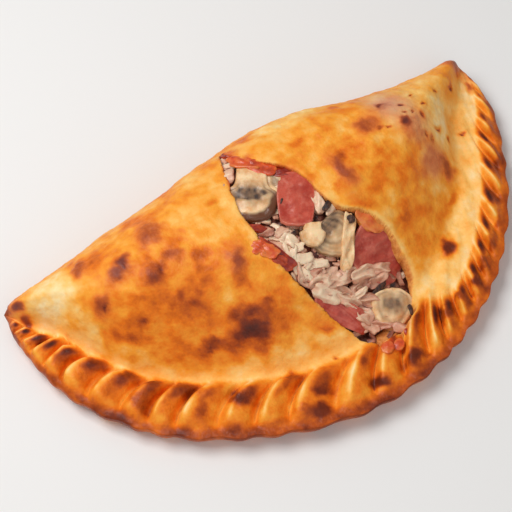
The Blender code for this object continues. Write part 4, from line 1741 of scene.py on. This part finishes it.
@dataclass
class MushroomSlice:
    """A mushroom cut lengthwise and cooked soft: cap, gills and a stub of stem.

    Sizes are in mm; the gills' place and size are shares of the cap's radius, across it and
    towards its crown. Each arc is a thin grey line: its share of the radius, width, strength.
    """

    node: str
    spot: Spot
    cap: float
    thick: float
    stem_width: float = 0.0
    stem_length: float = 0.0
    squash: float = 1.0
    gill_at: tuple[float, float] = (0.0, -0.05)
    gill_size: tuple[float, float] = (0.72, 0.42)
    gill_dark: float = 1.0
    gill_fade: tuple[float, float] = (0.55, 1.05)
    gill_lines: float = 20.0
    grey_fade: tuple[float, float] = (0.9, 2.0)
    arcs: tuple = ()
    grey: float = 0.4
    rim: float = 1.0
    skin_from: float = 0.90
    bend: float = 6.0
    underside: float = 0.42
    ragged: float = 0.09
    gill_groove: float = 1.1
    arc_groove: float = 0.45
    skin_step: float = 0.5
    plumpness: float = 0.3
    seed: float = 1.0
    fineness: int = 5

    def reach(self, angle: float) -> float:
        """Outline, as a distance from under the cap, in mm.

        Args:
            angle: the direction, 0 towards the crown.

        Returns:
            The distance to the outline.
        """
        side, up = math.sin(angle), math.cos(angle)
        flat = self.underside if up < 0 else 1.0
        reach = self.cap / math.hypot(side, up / flat)
        if up < 0 and self.stem_length > 0:
            stem = min(self.stem_length / -up, self.stem_width / max(abs(side), 1e-6))
            reach = (reach ** 6 + stem ** 6) ** (1 / 6)
        return reach * (1 + self.ragged * noise.noise(Vector((2.6 * side, 2.6 * up, self.seed * 7.1))))

    def build(self, material: bpy.types.Material, shape: HalfMoon) -> bpy.types.Object:
        """Model, paint and dress the slice.

        Args:
            material: the mushroom's finish.
            shape: the half moon it lies on.

        Returns:
            The slice.
        """
        bm = bmesh.new()
        painted: dict[str, list[float]] = {"gill": [], "fan": [], "grey": [], "skin": []}
        for vert in slab(bm, self.fineness):
            x, y, z = vert.co
            rho = math.hypot(x, y)
            reach = self.reach(math.atan2(x, y))
            px, py = x * reach, y * reach * self.squash
            gx = (px / self.cap - self.gill_at[0]) / self.gill_size[0]
            gy = (py / self.cap - self.gill_at[1]) / self.gill_size[1]
            uneven = noise.noise(Vector((px * 0.3, py * 0.3, self.seed)))
            away = math.hypot(gx, gy) + 0.45 * uneven
            gill = (1 - float(smoothstep(away, *self.gill_fade))) * self.gill_dark
            grey = self.grey * (1 - float(smoothstep(away, *self.grey_fade)))
            line = 0.0
            for share, width, strength in self.arcs:
                offset = (rho + 0.06 * uneven - share) / width
                line = max(line, strength * math.exp(-offset ** 2) * float(smoothstep(y, -0.7, -0.3)))
            skin = float(smoothstep(rho + 0.05 * uneven, self.skin_from, self.skin_from + 0.06))
            skin *= float(smoothstep(y, -0.35, 0.0))
            painted["gill"].append(gill)
            painted["fan"].append(self.gill_lines * math.atan2(px, py + 0.9 * self.cap))
            painted["grey"].append(min(1.0, grey + line))
            painted["skin"].append(skin * self.rim)
            sag = -self.bend * (px * px + py * py) * MM
            soft = 0.8 * noise.noise(Vector((px * 0.14, py * 0.14, self.seed * 3))) + 0.25 * uneven
            side = 1.0 if z > 0 else -1.0
            groove = self.gill_groove * gill * (0.7 + 0.6 * uneven) + self.arc_groove * line
            groove += self.skin_step * skin - self.plumpness * (1 - rho)
            vert.co = Vector((px, py, z * self.thick + sag + soft - side * groove)) * MM
        bm.transform(self.spot.matrix(shape))
        piece = as_object(self.node + "_slice", bm)
        for name, values in painted.items():
            paint(piece, name, np.array(values))
        return finish_piece(piece, material, [self.node], shape)


@dataclass
class HamSlice:
    """A thin wet slice of ham with soft folds and rounded corners. Sizes in mm."""

    node: str
    spot: Spot
    length: float
    width: float
    thick: float = 2.0
    wave: float = 1.2
    turns: float = 1.3
    folds: float = 0.6
    fold_width: float = 0.06
    fold_highlight: float = 0.55
    rim_from: float = 0.88
    rim_light: float = 0.35
    rounding: float = 0.20
    ragged: float = 0.06
    softness: float = 0.7
    fold_rise: float = 3.2
    seed: float = 1.0
    rows: int = 48
    columns: int = 36

    def crease(self, u: float, v: float) -> float:
        """Distance from the nearest fold line, and which side of it."""
        return noise.noise(Vector((1.3 * u + 2.1 * v, 0.7 * u, 5.1 * self.seed)))

    def build(self, material: bpy.types.Material, shape: HalfMoon) -> bpy.types.Object:
        """Model, paint and dress the slice.

        Args:
            material: the ham's finish.
            shape: the half moon it lies on.

        Returns:
            The slice.
        """
        bm = bmesh.new()
        bmesh.ops.create_grid(bm, x_segments=self.rows, y_segments=self.columns, size=1.0)
        edge = []
        for vert in bm.verts:
            u, v = vert.co.x, vert.co.y
            crease = self.crease(u, v)
            fold = math.exp(-(crease / self.fold_width) ** 2) * self.folds
            rim = float(smoothstep(max(abs(u), abs(v)), self.rim_from, 1.0))
            # Painted highlight along the fold lines, and a paler rim.
            edge.append(min(1.0, self.fold_highlight * fold + self.rim_light * rim))
            corner = 1.0 - self.rounding * (u * v) ** 2
            ragged = 1.0 + self.ragged * noise.noise(Vector((1.6 * u, 1.6 * v, 3.3 * self.seed)))
            wave = self.wave * math.sin(self.turns * math.pi * u + 0.9 * v) - 0.4 * self.wave * v * v
            soft = self.softness * noise.noise(Vector((1.5 * u, 1.5 * v, 9.0 * self.seed)))
            height = wave + soft - self.fold_rise * self.folds * abs(crease)
            vert.co = Vector((0.5 * self.length * u * corner * ragged,
                              0.5 * self.width * v * corner * ragged, height)) * MM
        sheet = as_object(self.node + "_slice", bm)
        paint(sheet, "edge", np.array(edge))
        solid = sheet.modifiers.new("thickness", "SOLIDIFY")
        solid.thickness = self.thick * MM
        solid.offset = 0.0
        smooth = sheet.modifiers.new("softness", "SUBSURF")
        smooth.levels = 1
        smooth.render_levels = 1
        bake(sheet)
        sheet.data.transform(self.spot.matrix(shape))
        sheet.data.shade_smooth()
        return finish_piece(sheet, material, [self.node], shape)


@dataclass(frozen=True)
class Bit:
    """One shred, ribbon or drop: its place, length, width and thickness in mm, and its shade."""

    spot: Spot
    length: float
    width: float
    thick: float
    shade: float = 0.5
    bend: float = 0.0
    crinkle: float = 0.4


@dataclass
class Scatter:
    """Soft bits joined in one piece, each a flat lozenge that is bent, creased and crinkled, with painted
    highlights and shade in its stored colour.
    """

    name: str
    bits: Sequence[Bit]
    slot: Slot
    nodes: tuple = ()
    fineness: int = 3
    squareness: float = 3.0
    rough: float = 0.3
    thin_edge: float = 0.45
    # Painted highlights and shade added to each bit's own colour value.
    ridge_highlight: float = 0.14
    lit_top: float = 0.16
    edge_shade: float = 0.20

    def build(self, material: bpy.types.Material, shape: HalfMoon) -> bpy.types.Object:
        """Model, paint and dress the bits.

        Args:
            material: the bits' finish.
            shape: the half moon they lie on.

        Returns:
            The piece.
        """
        bm = bmesh.new()
        layer = bm.verts.layers.float.new("shade")
        for number, bit in enumerate(self.bits):
            place = bit.spot.matrix(shape)
            for vert in slab(bm, self.fineness, 0.35, self.squareness):
                x, y, z = vert.co
                wobble = self.rough * noise.noise(Vector((1.7 * x, 1.7 * y, 1.9 * number + z)))
                px = 0.5 * bit.length * x * (1 + 0.6 * wobble)
                py = 0.5 * bit.width * y * (1 + wobble) + bit.bend * (x * x - 0.4)
                crease = noise.noise(Vector((0.09 * px, 0.22 * py, 2.3 * number)))
                ridge = math.exp(-(crease / 0.10) ** 2)
                lift = bit.crinkle * (1.0 - 4.5 * abs(crease) + 0.8 * x * math.sin(2.0 * number))
                thinner = 1 - self.thin_edge * max(abs(x), abs(y))
                pz = bit.thick * z * thinner * (1 + wobble) + lift
                vert.co = place @ (Vector((px, py, pz)) * MM)
                # Painted light: crease ridges lighter as highlights, the top lighter and the underside
                # darker, and the rims darker as shade.
                rim = max(abs(x), abs(y)) ** 3
                light = bit.crinkle * self.ridge_highlight * (ridge - 0.5) + self.lit_top * z
                vert[layer] = bit.shade + light - self.edge_shade * rim
        piece = as_object(self.name, bm)
        return finish_piece(piece, material, self.nodes, shape)


# Wide folded ribbons of ham: s, q, turn, length, width, shade and depth.
RIBBONS = (
    (0.580, 0.664, -22, 15, 5.5, 0.66, 2.4), (0.572, 0.684, 8, 13, 6, 0.56, 3.2),
    (0.556, 0.648, -10, 17, 8, 0.80, 2.4), (0.533, 0.628, -16, 18, 8, 0.74, 3.2),
    (0.506, 0.608, 5, 19, 8.5, 0.78, 3.2), (0.514, 0.640, -35, 17, 7, 0.66, 4.2),
    (0.500, 0.640, -55, 18, 8.5, 0.84, 3.4), (0.522, 0.676, -67, 18, 9, 0.76, 3.4),
    (0.546, 0.672, 2, 14, 6, 0.60, 4.6), (0.538, 0.684, 16, 13, 3.6, 0.92, 2.8),
    (0.546, 0.710, -41, 15, 7, 0.58, 4.2), (0.530, 0.728, -60, 16, 8.5, 0.72, 3.8),
    (0.532, 0.760, -75, 14, 7, 0.70, 3.8), (0.497, 0.588, -35, 13, 8, 0.46, 4.0),
    (0.546, 0.782, -20, 13, 6, 0.56, 4.0), (0.592, 0.690, -60, 12, 5, 0.40, 5.0),
)

# Small shreds that stand out, in the same order of values.
SHREDS = (
    (0.487, 0.461, -60, 11, 6, 0.98, 3.2), (0.489, 0.490, -20, 10, 5.5, 0.95, 3.8),
    (0.483, 0.428, 10, 9, 5, 0.72, 3.8), (0.488, 0.441, -30, 9, 4, 0.80, 3.8),
    (0.472, 0.462, -80, 13, 5.5, 0.60, 4.0), (0.481, 0.512, -118, 11, 3.8, 0.98, 3.2),
    (0.493, 0.530, -20, 10, 5.5, 0.95, 3.8), (0.481, 0.560, -110, 11, 4.4, 0.70, 3.6),
    (0.484, 0.590, -60, 10, 5.5, 0.78, 3.8), (0.508, 0.563, -30, 12, 5, 0.95, 3.8),
    (0.463, 0.402, -20, 9, 4.5, 0.46, 3.4), (0.477, 0.535, -90, 10, 3.6, 0.92, 3.8),
    (0.497, 0.548, 20, 8, 3.6, 0.92, 3.6), (0.470, 0.498, -85, 12, 4.6, 0.66, 4.2),
    (0.553, 0.408, -107, 14, 5, 0.80, 2.8), (0.566, 0.452, -150, 10, 5, 0.84, 3.4),
    (0.457, 0.160, -30, 10, 8, 0.72, 3.2), (0.474, 0.112, -40, 10, 9, 0.84, 3.6),
    (0.450, 0.214, -60, 7, 5, 0.56, 2.8), (0.482, 0.070, 20, 8, 7, 0.74, 3.4),
    (0.514, 0.300, -20, 10, 6, 0.90, 5.0), (0.494, 0.508, -50, 8, 3.6, 0.50, 4.4),
    (0.500, 0.565, -40, 9, 3.6, 0.84, 4.2), (0.562, 0.724, -30, 9, 4, 0.50, 4.6),
    (0.566, 0.835, -35, 14, 5, 0.66, 3.8), (0.592, 0.812, -70, 12, 5, 0.50, 5.2),
    (0.474, 0.440, -45, 9, 4, 0.86, 3.8), (0.478, 0.484, -100, 9, 4, 0.88, 3.6),
    (0.488, 0.575, -80, 10, 4, 0.90, 3.8), (0.502, 0.586, 10, 9, 4, 0.70, 4.0),
)


@dataclass
class Filling:
    """All that shows in the split."""

    crust: Crust
    seed: int = 7
    tilt: float = 14
    roll: float = 8
    bend: float = 0.8
    small_shreds: int = 130
    shred_s: tuple[float, float] = (0.45, 0.625)
    shred_q: tuple[float, float] = (0.20, 0.84)
    under_ham_s: tuple[float, float] = (0.558, 0.625)
    under_ham_q: tuple[float, float] = (0.50, 0.72)
    shred_length: tuple[float, float] = (5, 11)
    shred_width: tuple[float, float] = (2.4, 4.2)
    shred_thick: tuple[float, float] = (1.4, 2.2)
    shred_depth: tuple[float, float] = (5.2, 6.8)
    shred_tilt: tuple[float, float] = (-25, 25)
    shred_bend: tuple[float, float] = (-1.2, 1.2)
    shred_shades: tuple = (0.3, 0.45, 0.6, 0.75, 0.9)

    def mushrooms(self) -> list[MushroomSlice]:
        """The slices of mushroom, the uppermost first.

        Returns:
            The slices.
        """
        return [
            MushroomSlice("mushroom_1", Spot(0.476, 0.268, 3.6, 146), 15.5, 5.0, 8.5, 24, seed=1.0,
                          gill_at=(0.05, -0.02), gill_size=(0.70, 0.34), arcs=((0.74, 0.05, 0.5),),
                          grey=0.5, skin_from=0.70),
            MushroomSlice("mushroom_2", Spot(0.524, 0.276, 5.0, 100), 9.5, 3.6, seed=2.0,
                          gill_at=(0.1, 0.1), gill_size=(0.5, 0.25), gill_dark=0.5, grey=0.5),
            MushroomSlice("mushroom_3", Spot(0.520, 0.484, 2.6, 150), 7.0, 4.2, 4.6, 6.4, seed=3.0,
                          gill_size=(0.01, 0.01), gill_dark=0.0, grey=0.0, rim=0.25,
                          arcs=((0.86, 0.06, 0.35),)),
            MushroomSlice("mushroom_4", Spot(0.546, 0.506, 4.6, 205), 13.5, 4.2, squash=1.15, seed=4.0,
                          gill_at=(-0.10, -0.25), gill_size=(0.85, 0.42), gill_dark=0.8, grey=0.5,
                          rim=0.6, arcs=((0.50, 0.08, 0.6), (0.68, 0.07, 0.4), (0.84, 0.06, 0.65))),
            MushroomSlice("mushroom_6", Spot(0.574, 0.752, 3.2, 150), 12.5, 4.4, squash=1.3, seed=6.0,
                          gill_at=(0.02, 0.16), gill_size=(0.46, 0.36), gill_dark=0.75, grey=0.6, rim=0.3,
                          arcs=((0.72, 0.07, 0.5),)),
        ]

    def ham(self) -> list[HamSlice]:
        """The slices of ham.

        Returns:
            The slices.
        """
        return [
            HamSlice("ham_1", Spot(0.529, 0.358, 3.4, 58), 33, 20, wave=0.8, folds=0.15, seed=1.0),
            HamSlice("ham_2", Spot(0.603, 0.628, 4.6, 40), 40, 36, wave=1.2, folds=0.35, seed=2.0),
            HamSlice("ham_3", Spot(0.509, 0.702, 3.0, -59), 36, 13, wave=0.8, folds=0.3, seed=3.0),
        ]

    def scatter(self, rows: Sequence[tuple], thick: float, crinkle: float) -> list[Bit]:
        """Bits at the places that a table gives.

        Args:
            rows: s, q, turn, length, width, shade and depth of each bit.
            thick: their thickness in mm.
            crinkle: how crinkled they are.

        Returns:
            The bits.
        """
        draw = random.Random(self.seed)
        bits = []
        for s, q, turn, length, width, shade, depth in rows:
            tilt, roll = draw.uniform(-self.tilt, self.tilt), draw.uniform(-self.roll, self.roll)
            bend = draw.uniform(-self.bend, self.bend)
            spot = Spot(s, q, depth, turn, tilt, roll)
            bits.append(Bit(spot, length, width, thick, shade, bend, crinkle))
        return bits

    def small_bits(self) -> list[Bit]:
        """Many small shreds of ham and mushroom, low between the others.

        Returns:
            The bits.
        """
        draw = random.Random(self.seed)
        bits: list[Bit] = []
        while len(bits) < self.small_shreds:
            s, q = draw.uniform(*self.shred_s), draw.uniform(*self.shred_q)
            here = self.crust.shape.smooth_skin(s, q)
            inside = self.crust.split.inside(np.array([here.x]), np.array([here.y]), 1 * MM)[0]
            under_ham = (self.under_ham_s[0] < s <= self.under_ham_s[1]
                         and self.under_ham_q[0] < q < self.under_ham_q[1])
            if inside < 0.5 or under_ham:
                continue
            spot = Spot(s, q, draw.uniform(*self.shred_depth), draw.uniform(0, 360),
                        draw.uniform(*self.shred_tilt), draw.uniform(*self.shred_tilt))
            bits.append(Bit(spot, draw.uniform(*self.shred_length), draw.uniform(*self.shred_width),
                            draw.uniform(*self.shred_thick), draw.choice(self.shred_shades),
                            draw.uniform(*self.shred_bend)))
        return bits

    def dark_bits(self) -> list[Bit]:
        """Singed bits, a brown stub, and dark strips of painted shade in the gaps between the pieces.

        Returns:
            The bits.
        """
        # The first is a singed bit and the fourth a brown stub; the other dark strips are painted shade,
        # laid where the gaps between the pieces fall in shadow.
        return [Bit(Spot(0.577, 0.512, 1.2, -90), 4.8, 3.8, 2.4),
                Bit(Spot(0.566, 0.706, 3.2, 25), 12.0, 3.4, 1.6),
                Bit(Spot(0.586, 0.808, 2.8, -98), 7.0, 2.6, 2.0),
                Bit(Spot(0.560, 0.436, 2.0, 24), 8.0, 3.2, 1.8),
                Bit(Spot(0.508, 0.340, 2.8, 34), 8.5, 1.6, 1.4),
                Bit(Spot(0.500, 0.452, 4.0, 0), 6.0, 2.6, 1.6),
                Bit(Spot(0.532, 0.640, 3.4, -10), 9.0, 1.6, 1.4)]

    def tomatoes(self) -> list[Scatter]:
        """Pieces of tomato and lumps of sauce.

        Returns:
            The flap, the strip, the drops and the lumps.
        """
        flap = Bit(Spot(0.604, 0.545, 2.8, 118), 19, 12, 3.2, 0.24, 0.0, 0.3)
        strip = Bit(Spot(0.458, 0.478, 3.2, -66), 28, 9, 3.0, 0.86, 1.0, 0.3)
        lumps = [Bit(Spot(0.444, 0.441, 0.9, -30), 9, 7, 3.4, 0.45),
                 Bit(Spot(0.454, 0.466, 0.9, -50), 10, 7, 3.6, 0.40),
                 Bit(Spot(0.451, 0.375, 1.8, -35), 13, 4.5, 2.4, 0.85),
                 Bit(Spot(0.461, 0.500, 2.0, -62), 11, 5, 3.0, 0.70)]
        # The fourth, darkest strip is sauce painted dark for the shade in the gap under the upper lip:
        # partly painted shade.
        strips = [Bit(Spot(0.487, 0.058, 2.6, -70), 13, 8, 2.6, 0.90),
                  Bit(Spot(0.498, 0.150, 2.6, -52), 19, 8, 2.8, 0.42),
                  Bit(Spot(0.516, 0.204, 3.0, -46), 16, 8, 2.6, 0.55),
                  Bit(Spot(0.537, 0.246, 3.6, -40), 16, 8, 2.4, 0.92),
                  Bit(Spot(0.556, 0.305, 3.6, -66), 13, 7, 2.4, 0.30)]
        drops = [Bit(Spot(0.5280, 0.862, -3.6, 20), 8, 6.6, 3.4, 0.42, 0.0, 0.0),
                 Bit(Spot(0.5420, 0.872, -1.6, 35), 7.4, 6, 3.2, 0.40, 0.0, 0.0),
                 Bit(Spot(0.5600, 0.855, -1.2, 50), 4, 3, 2.2, 0.75, 0.0, 0.0)]
        return [Scatter("tomato_flap", [flap], Slot.TOMATO, ("tomato_1",), fineness=5),
                Scatter("tomato_strip", [strip], Slot.TOMATO, ("tomato_2",), fineness=5),
                Scatter("sauce_drops", drops, Slot.TOMATO, fineness=4, squareness=2.0, rough=0.12),
                Scatter("sauce_lumps", lumps + strips, Slot.TOMATO, fineness=4, squareness=2.6,
                        rough=0.4)]

    def stalk(self) -> Scatter:
        """The long pale stalk.

        Returns:
            The stalk.
        """
        stalk = Bit(Spot(0.559, 0.556, 3.2, 64), 31, 7, 4.2, 0.5, 0.6, 0.5)
        return Scatter("mushroom_5_slice", [stalk], Slot.MUSHROOM, ("mushroom_5",), fineness=5,
                       squareness=4.0)

    def shreds(self) -> list[Scatter]:
        """The wide ribbons of ham and the small shreds.

        Returns:
            The two pieces.
        """
        ribbons = self.scatter(RIBBONS, thick=2.6, crinkle=1.2)
        small = self.scatter(SHREDS, thick=1.9, crinkle=0.8) + self.small_bits()
        return [Scatter("ham_ribbons", ribbons, Slot.FILLING, ("filling",), fineness=4),
                Scatter("small_shreds", small, Slot.FILLING, ("filling",), squareness=4.0, rough=0.5)]

    def build(self, finishes: dict[str, bpy.types.Material]) -> None:
        """Model and dress all the pieces of the filling.

        Args:
            finishes: the materials by name.
        """
        Heap(self.crust).build(finishes["filling"])
        # Singed bits together with dark strips of painted shade.
        singed = Scatter("singed_and_shadow_bits", self.dark_bits(), Slot.FILLING)
        groups = (("mushroom", [*self.mushrooms(), self.stalk()]), ("ham", self.ham()),
                  ("tomato", self.tomatoes()), ("filling", self.shreds()), ("char", [singed]))
        for finish, pieces in groups:
            for piece in pieces:
                piece.build(finishes[finish], self.crust.shape)


# Studio: floor, lights and camera.


@dataclass
class Studio:
    """The pale floor, the soft lights and the camera."""

    azimuth: float = -32.45
    elevation: float = 62.0
    distance: float = 0.9
    target: tuple[float, float, float] = (-0.0191, 0.0200, 0.02)
    focal_px: float = 1688.7
    image_px: float = 512.0
    sensor: float = 36.0
    near: float = 0.05
    far: float = 20.0
    key_at: tuple[float, float, float] = (-0.42, 0.10, 0.85)
    key_power: float = 6.4
    key_size: float = 0.55
    fill_at: tuple[float, float, float] = (0.35, -0.65, 0.65)
    fill_power: float = 1.7
    fill_size: float = 0.9
    sky: float = 0.33
    sky_colour: tuple[float, float, float, float] = (1.0, 0.99, 0.97, 1.0)
    floor_size: float = 4.0

    def back(self) -> Vector:
        """Direction from the target to the camera."""
        a, e = math.radians(self.azimuth), math.radians(self.elevation)
        return Vector((math.sin(a) * math.cos(e), -math.cos(a) * math.cos(e), math.sin(e)))

    def camera(self) -> None:
        """The camera at the photograph's angle."""
        data = bpy.data.cameras.new("photo_camera")
        data.sensor_width = self.sensor
        data.lens = self.focal_px * self.sensor / self.image_px
        data.clip_start = self.near
        data.clip_end = self.far
        camera = bpy.data.objects.new("photo_camera", data)
        bpy.context.scene.collection.objects.link(camera)
        back = self.back()
        camera.location = Vector(self.target) + back * self.distance
        camera.rotation_euler = (-back).to_track_quat("-Z", "Y").to_euler()
        bpy.context.scene.camera = camera

    def lamp(self, name: str, at: tuple[float, float, float], power: float, size: float) -> None:
        """One soft lamp, placed as seen from the camera and aimed at the calzone.

        Args:
            name: the lamp's name.
            at: metres to the right of the target, beyond it and above it.
            power: its power in watts.
            size: the side of its square.
        """
        data = bpy.data.lights.new(name, "AREA")
        data.energy = power
        data.size = size
        lamp = bpy.data.objects.new(name, data)
        bpy.context.scene.collection.objects.link(lamp)
        right, ahead, up = at
        a = math.radians(self.azimuth)
        across = Vector((math.cos(a), math.sin(a), 0))
        onward = Vector((-math.sin(a), math.cos(a), 0))
        target = Vector(self.target)
        lamp.location = target + across * right + onward * ahead + Vector((0, 0, up))
        lamp.rotation_euler = (target - lamp.location).to_track_quat("-Z", "Y").to_euler()

    def floor(self, material: bpy.types.Material) -> None:
        """A plain pale floor.

        Args:
            material: the floor's finish.
        """
        bm = bmesh.new()
        bmesh.ops.create_grid(bm, x_segments=1, y_segments=1, size=self.floor_size)
        floor = as_object("pale_floor", bm)
        floor.data.materials.append(material)

    def build(self) -> None:
        """Set up the floor, the lights and the camera."""
        self.floor(PaleFinish().make())
        self.lamp("key", self.key_at, self.key_power, self.key_size)
        self.lamp("fill", self.fill_at, self.fill_power, self.fill_size)
        world = bpy.data.worlds.new("soft_sky")
        world.use_nodes = True
        ground = world.node_tree.nodes["Background"]
        ground.inputs["Color"].default_value = self.sky_colour
        ground.inputs["Strength"].default_value = self.sky
        bpy.context.scene.world = world
        bpy.context.scene.view_settings.view_transform = "Standard"
        self.camera()


def main() -> None:
    """Build every piece in order and report it."""
    logging.basicConfig(level=logging.INFO, format="%(name)s: %(message)s")
    finishes = {
        "dough": DoughFinish().make(), "mushroom": MushroomFinish().make(),
        "ham": HamFinish().make(), "tomato": TomatoFinish().make(),
        "filling": FillingFinish().make(), "char": CharFinish().make(),
    }
    crust = Crust(HalfMoon(), Split())
    crust.build(finishes["dough"])
    Filling(crust).build(finishes)
    Studio().build()


if __name__ == "__main__":
    main()
